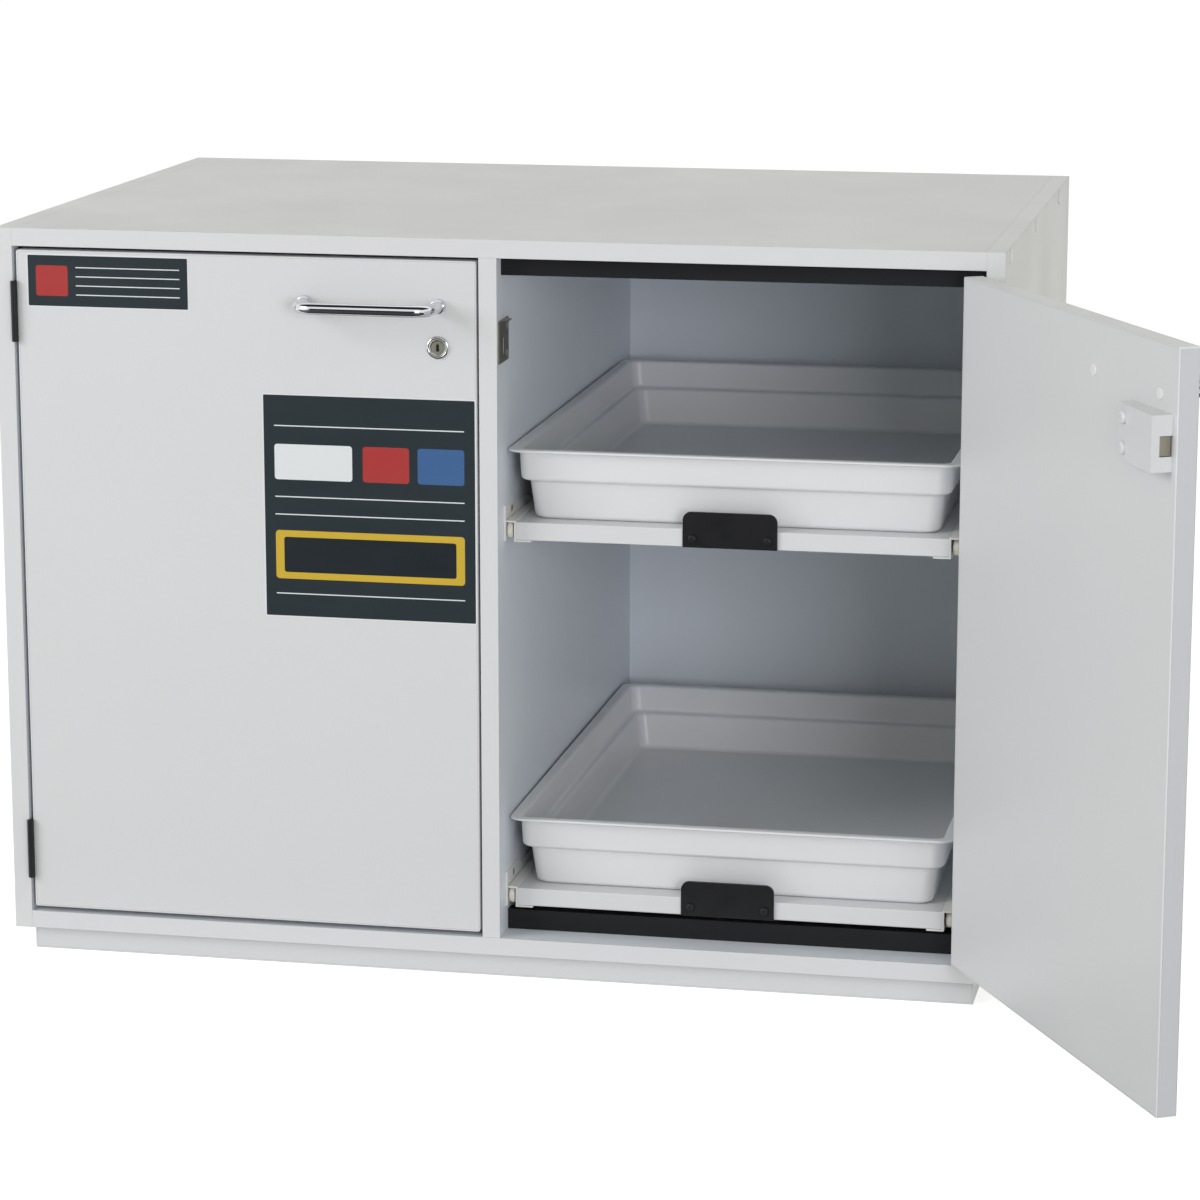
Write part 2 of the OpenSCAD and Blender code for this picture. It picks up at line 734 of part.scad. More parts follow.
// Web on the shelf's edge, a flange under the shelf and one over the front roller
module drawer_rail() {
  web_x = runner_w - rail_t;
  block(web_x, runner_w, 0, shelf_d, -rail_t, flange_z + rail_t);
  block(web_x, runner_w + under_w, 0, shelf_d, -rail_t, 0);
  block(rail_t + roller_play, runner_w, 0, shelf_d, flange_z, flange_z + rail_t);
  translate([web_x + skin, rear_axle_y, axle_z]) to_minus_x() {
    cylinder(h = web_play + roller_w + pin_clear + skin, r = axle_r);
    translate([0, 0, web_play + roller_w + pin_clear])
      cylinder(h = axle_head_t - pin_clear, r = axle_head_r);
  }
}

module front_roller() translate([rail_t + roller_play, axle_y, axle_z]) to_x()
  roller(roller_r);

module rear_roller()
  translate([runner_w - rail_t - web_play - roller_w, rear_axle_y, axle_z]) to_x()
    roller(rear_roller_r);

module roller(r) difference() {
  cylinder(h = roller_w, r = r);
  translate([0, 0, -cut]) cylinder(h = roller_w + 2 * cut, r = axle_r + pin_clear);
}

module runner_spacers() place() color(board_grey) difference() {
  for (s = [-1, 1], z = [lower_z, upper_z]) handed(s)
    block(inner_x - spacer_t, inner_x, shelf_y + rail_y0, shelf_y + rail_l,
          z + track_z - rail_t, z + track_z - rail_t + spacer_h);
  for (s = [-1, 1], z = [lower_z, upper_z]) handed(s)
    hinge_rail_places(s, z) screw_hole();
}

// ---------------------------------------------------------------- shelves

module shelf(s, z) place() handed(s) color(board_grey) difference() {
  translate([shelf_x0, shelf_y, z]) rotate([90, 0, 90])
    linear_extrude(shelf_x1 - shelf_x0) shelf_section();
  pull_screw_places(z) to_y() translate([0, 0, -cut])
    cylinder(h = pull_screw_l + cut + clear, r = pull_screw_r + clear);
}

// Front edge rounded, seen from the side
module shelf_section() {
  translate([shelf_edge_r, 0]) square([shelf_d - shelf_edge_r, shelf_t]);
  translate([0, shelf_edge_r]) square([shelf_edge_r, shelf_t - 2 * shelf_edge_r]);
  for (z = [shelf_edge_r, shelf_t - shelf_edge_r])
    translate([shelf_edge_r, z]) circle(shelf_edge_r);
}

module pull_plate(s, z) handed(s) difference() {
  translate([shelf_xc - pull_w / 2, shelf_y, z]) rotate([90, 0, 0])
    linear_extrude(pull_t) {
      square([pull_w, pull_h - pull_r]);
      translate([pull_r, 0]) square([pull_w - 2 * pull_r, pull_h]);
      for (x = [pull_r, pull_w - pull_r]) translate([x, pull_h - pull_r]) circle(pull_r);
    }
  pull_screw_places(z) translate([0, cut, 0]) to_minus_y()
    cylinder(h = pull_t + 2 * cut, r = pull_screw_r + clear);
}

module pull_screws(s, z) handed(s) pull_screw_places(z) {
  to_y() cylinder(h = pull_screw_l, r = pull_screw_r);
  to_minus_y() {
    cylinder(h = pull_t + skin, r = pull_screw_r);
    translate([0, 0, pull_t]) cylinder(h = pull_head_h, r1 = pull_head_r,
                                       r2 = pull_head_r - pull_head_h / 2);
  }
}

// ---------------------------------------------------------------- trays

// Thin slice of a tray at height z, drawn in from the rim by side and by a wall
module tray_slice(side, wall, z) {
  inset = side + wall;
  translate([shelf_xc - rim_w / 2 + inset, shelf_y + tray_setback + inset, z])
    linear_extrude(skin) round_rect(rim_w - 2 * inset, rim_d - 2 * inset,
                                    tray_corner_r - wall, $fn = tray_fn);
}

// One body of the tray between two heights; wall draws it in for the hollow
module tray_upper(wall) {
  ledge_z = tray_h - tray_upper_h;
  hull() {
    tray_slice(tray_lip + tray_draft, wall, ledge_z + wall);
    tray_slice(tray_lip, wall, tray_h + (wall > 0 ? cut : -skin));
  }
}
module tray_lower(wall) {
  ledge_z = tray_h - tray_upper_h;
  top_side = tray_lip + tray_draft + tray_ledge;
  hull() {
    tray_slice(top_side + tray_taper, wall, wall);
    tray_slice(top_side, wall, ledge_z + 2 * wall);
  }
}

module tray(s, z) place() handed(s) translate([0, 0, z + shelf_t]) color(tray_grey)
  difference() {
    union() {
      translate([shelf_xc - rim_w / 2, shelf_y + tray_setback, tray_h - tray_rim_t])
        linear_extrude(tray_rim_t) round_rect(rim_w, rim_d, tray_corner_r);
      tray_upper(0);
      tray_lower(0);
    }
    tray_upper(tray_wall);
    tray_lower(tray_wall);
  }

// ---------------------------------------------------------------- the nodes

module right_rails(z) place() color(enamel) cabinet_rails(1, z);
module left_rails() place() color(enamel)
  for (z = [lower_z, upper_z]) cabinet_rails(-1, z);
module drawer_rails(s, z) place() color(enamel) runner_pair(s, z) drawer_rail();
module front_rollers(s, z) place() color(nylon) runner_pair(s, z) front_roller();
module rear_rollers(s, z) place() color(nylon) runner_pair(s, z) rear_roller();

side_panel(-1);  // left_side_panel
side_panel(1);  // right_side_panel
cross_panel(top_z);  // top_panel
cross_panel(0);  // bottom_panel
centre_partition();
back_panel();
plinth_front_rail();
plinth_rear_rail();
plinth_cross_rails();
assembly_screws();
cover_caps();
seal_strips();
hinge_frame_leaves();
hinge_pins();
strike_plates();
carcass_screws();
runner_spacers();
right_rails(upper_z);  // right_upper_cabinet_rails
right_rails(lower_z);  // right_lower_cabinet_rails
left_rails();  // left_cabinet_rails

shelf(-1, upper_z);  // left_upper_shelf
shelf(-1, lower_z);  // left_lower_shelf
tray(-1, upper_z);  // left_upper_tray
tray(-1, lower_z);  // left_lower_tray
place() color(black)  // left_pull_plates
  for (z = [lower_z, upper_z]) pull_plate(-1, z);
place() color(black)  // left_pull_screws
  for (z = [lower_z, upper_z]) pull_screws(-1, z);
for (z = [lower_z, upper_z]) drawer_rails(-1, z);  // left_drawer_rails
for (z = [lower_z, upper_z]) {  // left_rollers
  front_rollers(-1, z);
  rear_rollers(-1, z);
}

door_panel(-1);  // left_door_panel
door_handle(-1);  // left_door_handle
door_hinge_leaves(-1);  // left_door_hinge_leaves
door_screws(-1);  // left_door_screws
door_caps(-1);  // left_door_caps
lock_barrel(-1);  // left_lock_barrel
lock_case(-1);  // left_lock_case
lock_plug(-1);  // left_lock_plug
lock_bolt(-1);  // left_lock_bolt

door_panel(1);  // right_door_panel
door_handle(1);  // right_door_handle
door_hinge_leaves(1);  // right_door_hinge_leaves
door_screws(1);  // right_door_screws
door_caps(1);  // right_door_caps
lock_barrel(1);  // right_lock_barrel
lock_case(1);  // right_lock_case
lock_plug(1);  // right_lock_plug
lock_bolt(1);  // right_lock_bolt

shelf(1, upper_z);  // right_upper_shelf
tray(1, upper_z);  // right_upper_tray
place() color(black)  // right_upper_pull_plate
  pull_plate(1, upper_z);
place() color(black)  // right_upper_pull_screws
  pull_screws(1, upper_z);
drawer_rails(1, upper_z);  // right_upper_drawer_rails
shelf(1, lower_z);  // right_lower_shelf
tray(1, lower_z);  // right_lower_tray
place() color(black)  // right_lower_pull_plate
  pull_plate(1, lower_z);
place() color(black)  // right_lower_pull_screws
  pull_screws(1, lower_z);
drawer_rails(1, lower_z);  // right_lower_drawer_rails

front_rollers(1, upper_z);  // right_upper_front_rollers
rear_rollers(1, upper_z);  // right_upper_rear_rollers
front_rollers(1, lower_z);  // right_lower_front_rollers
rear_rollers(1, lower_z);  // right_lower_rear_rollers
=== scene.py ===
"""Dresses the reagent drawer cabinet: finishes, moulded trays, bow handles, rollers,
lock faces, screws, label plates without words, camera and studio. Metres, in the part's own
frame: the front is towards -Y, the floor is z = 0, and the right door stands open."""
import json
import math

import bmesh
import bpy
from mathutils import Matrix, Vector


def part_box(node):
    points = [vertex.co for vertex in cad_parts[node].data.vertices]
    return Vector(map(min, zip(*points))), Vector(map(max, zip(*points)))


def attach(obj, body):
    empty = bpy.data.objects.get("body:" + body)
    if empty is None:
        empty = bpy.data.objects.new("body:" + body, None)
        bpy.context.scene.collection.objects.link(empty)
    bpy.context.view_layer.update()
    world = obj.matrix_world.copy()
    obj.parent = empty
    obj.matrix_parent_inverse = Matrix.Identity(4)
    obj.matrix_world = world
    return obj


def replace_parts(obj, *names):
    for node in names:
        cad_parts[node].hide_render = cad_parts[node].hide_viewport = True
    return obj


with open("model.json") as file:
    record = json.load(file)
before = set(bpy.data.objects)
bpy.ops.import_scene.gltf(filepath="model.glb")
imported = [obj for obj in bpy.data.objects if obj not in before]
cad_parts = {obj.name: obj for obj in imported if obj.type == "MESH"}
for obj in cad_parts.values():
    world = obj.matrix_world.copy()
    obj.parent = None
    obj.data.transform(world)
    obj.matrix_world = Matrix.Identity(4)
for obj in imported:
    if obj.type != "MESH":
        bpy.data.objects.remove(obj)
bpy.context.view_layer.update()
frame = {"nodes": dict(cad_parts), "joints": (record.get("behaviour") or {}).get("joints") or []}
MM = 0.001


# ---------------------------------------------------------------- places

def joint(name):
    """The joint of that name, as the record gives it."""
    return next(j for j in frame["joints"] if j["name"] == name)


def corners(node):
    """A node's lowest and highest corners at rest."""
    return tuple(Vector(corner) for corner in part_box(node))


HINGE = joint("right_door_hinge")
PIVOT = Vector(HINGE["pos_m"])
OPEN = math.radians(-HINGE["range_deg"][0])
DOOR_LOW, DOOR_HIGH = corners("left_door_panel")
FRONT_Y = DOOR_LOW.y
INNER_Y = DOOR_HIGH.y
INNER_X = corners("right_side_panel")[0].x
PARTITION_X = corners("centre_partition")[1].x
SWING = Matrix.Translation(PIVOT) @ Matrix.Rotation(OPEN, 4, "Z") @ Matrix.Translation(-PIVOT)
MIRROR = Matrix.Scale(-1, 4, Vector((1, 0, 0)))
STILL = Matrix.Identity(4)

# A piece is made for the shut left door and put on either door
ON_DOOR = {"left": STILL, "right": SWING @ MIRROR}
ON_SIDE = {"left": STILL, "right": MIRROR}


# ---------------------------------------------------------------- surfaces

def srgb(red, green, blue):
    """A colour given as 0 to 255 on screen, as linear values for a shader."""
    def linear(value):
        value /= 255
        return value / 12.92 if value <= 0.04045 else ((value + 0.055) / 1.055) ** 2.4
    return (linear(red), linear(green), linear(blue), 1.0)


class Surface:
    """A node-based material, built one step at a time."""

    def __init__(self, name, colour, roughness, metallic=0.0):
        self.mat = bpy.data.materials.new(name)
        self.mat.use_nodes = True
        self.tree = self.mat.node_tree
        self.shader = self.tree.nodes["Principled BSDF"]
        self.colour = colour
        self.set("Base Color", colour)
        self.set("Roughness", roughness)
        self.set("Metallic", metallic)
        self.coords = self.node("ShaderNodeTexCoord").outputs["Object"]
        self.normal = None

    def node(self, kind, **values):
        made = self.tree.nodes.new(kind)
        for key, value in values.items():
            setattr(made, key, value)
        return made

    def link(self, source, target):
        self.tree.links.new(source, target)

    def set(self, socket, value):
        self.shader.inputs[socket].default_value = value

    def math(self, kind, first, second=0.0):
        """One Math node on two sockets or numbers."""
        made = self.node("ShaderNodeMath", operation=kind)
        for index, value in enumerate((first, second)):
            if hasattr(value, "is_linked"):
                self.link(value, made.inputs[index])
            else:
                made.inputs[index].default_value = value
        return made.outputs[0]

    def parts(self, vector):
        """The x, y and z of a vector."""
        made = self.node("ShaderNodeSeparateXYZ")
        self.link(vector, made.inputs[0])
        return made.outputs

    def stretch(self, scale=(1, 1, 1), turn=0.0, centre=(0, 0, 0)):
        """Object coordinates turned back about the z axis through centre, then scaled."""
        back = self.node("ShaderNodeVectorRotate", rotation_type="Z_AXIS")
        back.inputs["Center"].default_value = centre
        back.inputs["Angle"].default_value = -turn
        self.link(self.coords, back.inputs["Vector"])
        sized = self.node("ShaderNodeMapping")
        sized.inputs["Scale"].default_value = scale
        self.link(back.outputs[0], sized.inputs["Vector"])
        return sized.outputs[0]

    def noise(self, scale, detail=4.0, roughness=0.55, coords=None):
        """Noise from 0 to 1; scale is in features per metre."""
        made = self.node("ShaderNodeTexNoise")
        made.inputs["Scale"].default_value = scale
        made.inputs["Detail"].default_value = detail
        made.inputs["Roughness"].default_value = roughness
        self.link(coords or self.coords, made.inputs["Vector"])
        return made.outputs["Fac"]

    def between(self, value, low, high, to_low=0.0, to_high=1.0):
        """Maps value from low..high to to_low..to_high, clamped."""
        made = self.node("ShaderNodeMapRange")
        for key, number in (("From Min", low), ("From Max", high),
                            ("To Min", to_low), ("To Max", to_high)):
            made.inputs[key].default_value = number
        self.link(value, made.inputs["Value"])
        return made.outputs["Result"]

    def tint(self, mask, colour):
        """Lays colour over the base colour where mask is 1."""
        mix = self.node("ShaderNodeMix", data_type="RGBA")
        socket = self.shader.inputs["Base Color"]
        if socket.is_linked:
            self.link(socket.links[0].from_socket, mix.inputs[6])
        else:
            mix.inputs[6].default_value = self.colour
        mix.inputs[7].default_value = colour
        self.link(mask, mix.inputs[0])
        self.link(mix.outputs[2], socket)

    def rough(self, value):
        self.link(value, self.shader.inputs["Roughness"])

    def bump(self, height, distance, strength):
        """Adds relief; distance is its height in metres where the value is 1."""
        made = self.node("ShaderNodeBump")
        made.inputs["Strength"].default_value = strength
        made.inputs["Distance"].default_value = distance
        self.link(height, made.inputs["Height"])
        if self.normal is not None:
            self.link(self.normal, made.inputs["Normal"])
        self.normal = made.outputs[0]
        self.link(self.normal, self.shader.inputs["Normal"])

    def round_edges(self, radius):
        """Rounds the sharp edges, so that they catch the light; comes before bump. Gives
        how straight the surface is: 1 where flat, less where an edge is rounded."""
        made = self.node("ShaderNodeBevel", samples=4)
        made.inputs["Radius"].default_value = radius
        self.normal = made.outputs[0]
        self.link(self.normal, self.shader.inputs["Normal"])
        flat = self.node("ShaderNodeNewGeometry").outputs["True Normal"]
        turned = self.node("ShaderNodeVectorMath", operation="DOT_PRODUCT")
        self.link(self.normal, turned.inputs[0])
        self.link(flat, turned.inputs[1])
        return turned.outputs["Value"]

    def wear(self, straight, low, high):
        """1 on the rounded edges that round_edges found, 0 elsewhere."""
        return self.between(straight, high, low)


def darker(colour, share):
    """A colour with its light cut to a share."""
    return tuple(value * share for value in colour[:3]) + (1.0,)


def grime(surface, amount, colour, scale=3.0, seed=0.0):
    """Soft uneven soiling, a hand's breadth across."""
    shifted = surface.node("ShaderNodeMapping")
    shifted.inputs["Location"].default_value = (seed, seed * 0.7, seed * 1.3)
    surface.link(surface.coords, shifted.inputs["Vector"])
    cloud = surface.noise(scale, 5.0, 0.6, shifted.outputs[0])
    surface.tint(surface.between(cloud, 0.4, 0.8, 0.0, amount), colour)


MELAMINE = srgb(214, 215, 216)
# Painted fill light: a brighter, cooler white for the compartments' inner faces
INSIDE_PAINTED_FILL = srgb(227, 233, 239)
BAND = srgb(216, 217, 218)
# Painted highlight along the open door's free edge, and its width
EDGE_HIGHLIGHT_PAINT = srgb(236, 237, 238)
SEAM = srgb(158, 159, 161)
RAW_BOARD = srgb(74, 66, 54)
# Painted shade on the open door's free edge
FREE_EDGE_SHADE = srgb(203, 204, 208)
SPECK = srgb(196, 198, 201)
PEARL = srgb(228, 229, 230)
SOIL = srgb(203, 204, 203)
RUBBED = srgb(184, 184, 182)
BAND_T = 1.3 * MM
EDGE_HIGHLIGHT_PAINT_W = 2.4 * MM
HAIRLINE = 0.25 * MM

# A mask that picks out one face fades between these two distances from it
MASK_FROM = 0.2 * MM
MASK_TO = 0.4 * MM
# Over this depth the painted fill light on the partition's inner faces comes in behind its front
# edge
FRONT_FADE = 0.6 * MM
# From this depth to a hairline's, the painted shade on the open door's free edge gives way to its
# face
FREE_FROM = 0.1 * MM

# Where the raw board of the bolt pockets fades out above and below the lock's axis,
# and where it fades in behind the front
POCKET_RISE = (11 * MM, 12 * MM)
POCKET_IN = (1.5 * MM, 2 * MM)


def inner_faces(surface, node):
    """1 on the faces that close a compartment, which get a brighter, cooler white as painted fill
    light.
    """
    x, y, z = surface.parts(surface.coords)
    if node == "back_panel":
        behind = corners(node)[0].y
        return surface.between(y, behind + MASK_FROM, behind + MASK_TO, 1.0, 0.0)
    off = surface.math("ABSOLUTE", x)
    if node == "centre_partition":
        side = surface.between(off, PARTITION_X - MASK_TO, PARTITION_X - MASK_FROM)
        inward = corners(node)[0].y + MASK_TO
        return surface.math("MULTIPLY", side, surface.between(y, inward, inward + FRONT_FADE))
    if node.endswith("side_panel"):
        return surface.between(off, INNER_X + MASK_FROM, INNER_X + MASK_TO, 1.0, 0.0)
    low, high = corners(node)
    if node == "top_panel":
        return surface.between(z, low.z + MASK_FROM, low.z + MASK_TO, 1.0, 0.0)
    return surface.between(z, high.z - MASK_TO, high.z - MASK_FROM)


def pocket(surface):
    """1 on the raw board inside the partition's bolt pockets."""
    x, y, z = surface.parts(surface.coords)
    low, high = corners("left_lock_barrel")
    rise = surface.math("ABSOLUTE", surface.math("SUBTRACT", z, (low.z + high.z) / 2))
    near = surface.between(rise, *POCKET_RISE, 1.0, 0.0)
    deep = surface.between(surface.math("ABSOLUTE", x), PARTITION_X - MASK_TO,
                           PARTITION_X - MASK_FROM, 1.0, 0.0)
    behind = surface.between(y, FRONT_Y + POCKET_IN[0], FRONT_Y + POCKET_IN[1])
    return surface.math("MULTIPLY", near, surface.math("MULTIPLY", deep, behind))


INNER_FACED = ("back_panel", "centre_partition", "left_side_panel", "right_side_panel",
               "top_panel", "bottom_panel")


def melamine(name, node, thin, turn=0.0, banded=True, edge=0.8):
    """Satin melamine on particle board: a pearled face, smooth edge bands and the
    hairline where each band meets the face. thin is the axis of the thickness."""
    surface = Surface(name, MELAMINE, 0.4)
    surface.set("Specular IOR Level", 0.42)
    seed = sum(ord(letter) for letter in name) * 0.37
    straight = surface.round_edges(edge * MM)
    fine = surface.noise(1500, 3.0, 0.6)
    pearl = surface.noise(620, 4.0, 0.5)
    surface.tint(surface.between(fine, 0.62, 0.78, 0.0, 0.14), SPECK)
    surface.tint(surface.between(pearl, 0.35, 0.7, 0.0, 0.1), PEARL)
    if node in INNER_FACED:
        # Painted fill light and cool cast on the inner faces
        surface.tint(inner_faces(surface, node), INSIDE_PAINTED_FILL)
    if node == "centre_partition":
        surface.tint(pocket(surface), RAW_BOARD)
    grime(surface, 0.10, SOIL, 2.2, seed)
    if banded:
        low, high = corners(node)
        if turn:
            low, high = (Vector((-DOOR_HIGH.x, DOOR_LOW.y, DOOR_LOW.z)),
                         Vector((-DOOR_LOW.x, DOOR_HIGH.y, DOOR_HIGH.z)))
        place = surface.parts(surface.stretch(turn=turn, centre=tuple(PIVOT)))
        depth = None
        for axis in range(3):
            if axis == thin:
                continue
            half = (high[axis] - low[axis]) / 2
            middle = (high[axis] + low[axis]) / 2
            off = surface.math("ABSOLUTE", surface.math("SUBTRACT", place[axis], middle))
            inside = surface.math("SUBTRACT", half, off)
            depth = inside if depth is None else surface.math("MINIMUM", depth, inside)
        line = surface.math("ABSOLUTE", surface.math("SUBTRACT", depth, BAND_T))
        seam = surface.math("SUBTRACT", 1.0, surface.between(line, HAIRLINE * 0.4, HAIRLINE))
        band = surface.between(depth, BAND_T - HAIRLINE, BAND_T, 1.0, 0.0)
        surface.tint(band, BAND)
        surface.tint(surface.math("MULTIPLY", seam, 0.5), SEAM)
        if turn:
            # Painted highlight: a lighter stripe beside the open door's free edge, where its
            # rounded edge band catches the light
            lit = surface.between(place[0], low.x + EDGE_HIGHLIGHT_PAINT_W, low.x + EDGE_HIGHLIGHT_PAINT_W + HAIRLINE, 1.0, 0.0)
            surface.tint(lit, EDGE_HIGHLIGHT_PAINT)
            # Painted shade: the open door's free edge is darker and cooler than its face
            free = surface.between(place[0], low.x + FREE_FROM, low.x + HAIRLINE, 1.0, 0.0)
            surface.tint(free, FREE_EDGE_SHADE)
    patchy = surface.between(surface.noise(45, 3.0, 0.6), 0.5, 0.72)
    worn = surface.wear(straight, 0.86, 0.99)
    surface.tint(surface.math("MULTIPLY", worn, surface.math("MULTIPLY", patchy, 0.25)),
                 RUBBED)
    surface.rough(surface.between(surface.noise(9, 4.0, 0.6), 0.3, 0.75, 0.34, 0.47))
    surface.bump(surface.noise(900, 2.0, 0.5), 0.012 * MM, 0.7)
    surface.bump(surface.noise(38, 2.0, 0.5), 0.05 * MM, 0.5)
    return surface.mat


def plastic(name, colour, roughness, grain=0.01, soft=0.4, specular=0.5, fine=1100):
    """Moulded plastic: even colour, faint flow marks, soft edges. fine is the number
    of surface features per metre, grain their height in millimetres."""
    surface = Surface(name, colour, roughness)
    surface.set("IOR", 1.49)
    surface.set("Specular IOR Level", specular)
    if soft:
        surface.round_edges(soft * MM)
    grime(surface, 0.10, darker(colour, 0.88), 5.0, 1.7)
    flow = surface.noise(14, 3.0, 0.5, surface.stretch((1, 1, 4)))
    surface.rough(surface.between(flow, 0.3, 0.7, roughness - 0.04, roughness + 0.06))
    surface.bump(surface.noise(fine, 2.0, 0.5), grain * MM, 0.6)
    return surface.mat


def coated(name, colour, roughness, orange_peel, chip=None, specular=0.5, patch=0.58):
    """Powder or epoxy coat on steel, with orange peel and rubbed edges. The edges are
    rubbed to the colour chip where a noise passes patch."""
    surface = Surface(name, colour, roughness)
    surface.set("Specular IOR Level", specular)
    straight = surface.round_edges(0.4 * MM)
    cloud = surface.noise(18, 4.0, 0.6)
    surface.tint(surface.between(cloud, 0.4, 0.75, 0.0, 0.15),
                 darker(colour, 0.82))
    if chip:
        worn = surface.wear(straight, 0.82, 0.99)
        patchy = surface.between(surface.noise(160, 3.0, 0.65), patch - 0.08, patch + 0.08)
        surface.tint(surface.math("MULTIPLY", worn, patchy), chip)
    surface.rough(surface.between(surface.noise(60, 3.0, 0.6), 0.3, 0.7,
                                  roughness - 0.06, roughness + 0.08))
    surface.bump(surface.noise(orange_peel, 2.0, 0.5), 0.02 * MM, 0.8)
    return surface.mat


def metal(name, colour, roughness, marks, soft=0.2):
    """Plated or polished metal with fine wiping marks."""
    surface = Surface(name, colour, roughness, 1.0)
    if soft:
        surface.round_edges(soft * MM)
    smear = surface.noise(70, 5.0, 0.65, surface.stretch())
    surface.rough(surface.between(smear, 0.3, 0.75, max(roughness - marks / 2, 0.03),
                                  roughness + marks))
    tarnish = surface.noise(120, 4.0, 0.6)
    surface.tint(surface.between(tarnish, 0.5, 0.8, 0.0, 0.2),
                 darker(colour, 0.75))
    surface.bump(surface.noise(420, 2.0, 0.5, surface.stretch()), 0.003 * MM, 0.4)
    return surface.mat


def turned_metal(name, colour, roughness, centre, axis):
    """Metal faced on a lathe: fine rings about an axis through centre."""
    surface = Surface(name, colour, roughness, 1.0)
    away = surface.node("ShaderNodeVectorMath", operation="SUBTRACT")
    surface.link(surface.coords, away.inputs[0])
    away.inputs[1].default_value = centre
    across = surface.node("ShaderNodeVectorMath", operation="CROSS_PRODUCT")
    surface.link(away.outputs[0], across.inputs[0])
    across.inputs[1].default_value = axis
    reach = surface.node("ShaderNodeVectorMath", operation="LENGTH")
    surface.link(across.outputs[0], reach.inputs[0])
    rings = surface.node("ShaderNodeTexNoise", noise_dimensions="1D")
    rings.inputs["Scale"].default_value = 4200
    rings.inputs["Detail"].default_value = 3.0
    surface.link(reach.outputs["Value"], rings.inputs["W"])
    grooves = rings.outputs["Fac"]
    surface.tint(surface.between(grooves, 0.35, 0.65, 0.0, 0.35),
                 darker(colour, 0.72))
    surface.rough(surface.between(grooves, 0.3, 0.7, roughness - 0.06, roughness + 0.12))
    surface.bump(grooves, 0.02 * MM, 0.8)
    return surface.mat


CAP = plastic("cap_plastic", srgb(228, 228, 227), 0.42)
STRIP = plastic("closing_strip", srgb(21, 22, 24), 0.5, grain=0.02, specular=0.3)
TRAY = plastic("tray_plastic", srgb(226, 227, 228), 0.34, grain=0.03, soft=0.0, fine=30)
NYLON = plastic("roller_nylon", srgb(230, 227, 214), 0.36, soft=0.0)
BLACK = coated("black_powder_coat", srgb(27, 29, 30), 0.46, 1400, srgb(60, 60, 59),
               specular=0.32)
PULL = coated("pull_plate_coat", srgb(21, 22, 23), 0.5, 1400, srgb(112, 112, 110),
              specular=0.28, patch=0.4)
ENAMEL = coated("white_epoxy_coat", srgb(226, 226, 223), 0.34, 700, srgb(190, 189, 184))
CASE = coated("lock_case_coat", srgb(215, 216, 218), 0.34, 900, srgb(186, 186, 185))
PLATED = metal("bright_plated_steel", srgb(196, 194, 188), 0.27, 0.12)
CHROME = metal("polished_chrome", srgb(222, 223, 226), 0.05, 0.03, soft=0.0)
NICKEL = metal("dull_nickel", srgb(146, 142, 126), 0.38, 0.12)
# Painted shade: a near-black coat for pieces that stand in for the dark inside a keyhole and
# screw recesses
RECESS_SHADE = coated("painted_recess_shade", srgb(24, 24, 24), 0.6, 1500, specular=0.3)


def finish_with(material, *nodes):
    """Gives each of these CAD nodes the material, as its only one."""
    for name in nodes:
        made = frame["nodes"][name]
        made.data.materials.clear()
        made.data.materials.append(material)


# Boards, with the axis of their thickness
BOARDS = {
    "left_side_panel": 0, "right_side_panel": 0, "top_panel": 2, "bottom_panel": 2,
    "centre_partition": 0, "back_panel": 1, "left_upper_shelf": 2, "left_lower_shelf": 2,
    "right_upper_shelf": 2, "right_lower_shelf": 2, "plinth_front_rail": 1,
    "plinth_rear_rail": 1,
}
DOOR_EDGE = 1.5
for board, thin in BOARDS.items():
    finish_with(melamine(board + "_melamine", board, thin), board)
finish_with(melamine("left_door_melamine", "left_door_panel", 1, edge=DOOR_EDGE),
            "left_door_panel")
finish_with(melamine("right_door_melamine", "right_door_panel", 1, OPEN, edge=DOOR_EDGE),
            "right_door_panel")
finish_with(melamine("plain_melamine", "plinth_cross_rails", 0, banded=False),
            "plinth_cross_rails", "runner_spacers")

finish_with(CAP, "cover_caps", "left_door_caps", "right_door_caps")
finish_with(STRIP, "seal_strips")
finish_with(BLACK, "hinge_frame_leaves", "hinge_pins", "left_door_hinge_leaves",
            "right_door_hinge_leaves", "left_pull_screws", "right_upper_pull_screws",
            "right_lower_pull_screws")
finish_with(PULL, "left_pull_plates", "right_upper_pull_plate", "right_lower_pull_plate")
finish_with(ENAMEL, "right_upper_cabinet_rails", "right_lower_cabinet_rails",
            "left_cabinet_rails", "left_drawer_rails", "right_upper_drawer_rails",
            "right_lower_drawer_rails")
finish_with(NYLON, "left_rollers", "right_upper_front_rollers", "right_upper_rear_rollers",
            "right_lower_front_rollers", "right_lower_rear_rollers")
finish_with(CASE, "left_lock_case", "right_lock_case")
finish_with(CHROME, "left_door_handle", "right_door_handle", "left_lock_barrel",
            "right_lock_barrel")
finish_with(NICKEL, "strike_plates", "left_lock_bolt", "right_lock_bolt")
finish_with(PLATED, "assembly_screws", "carcass_screws", "left_door_screws",
            "right_door_screws")
finish_with(TRAY, "left_upper_tray", "left_lower_tray", "right_upper_tray",
            "right_lower_tray")


# ---------------------------------------------------------------- mesh helpers

def add(name, mesh, material, body, place=STILL, smooth=True):
    """Puts a finished mesh in the scene, riding on a body."""
    mesh.transform(place)
    if place.determinant() < 0:
        mesh.flip_normals()
    mesh.materials.append(material)
    if smooth:
        mesh.shade_smooth()
    made = bpy.data.objects.new(name, mesh)
    bpy.context.scene.collection.objects.link(made)
    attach(made, body)
    return made


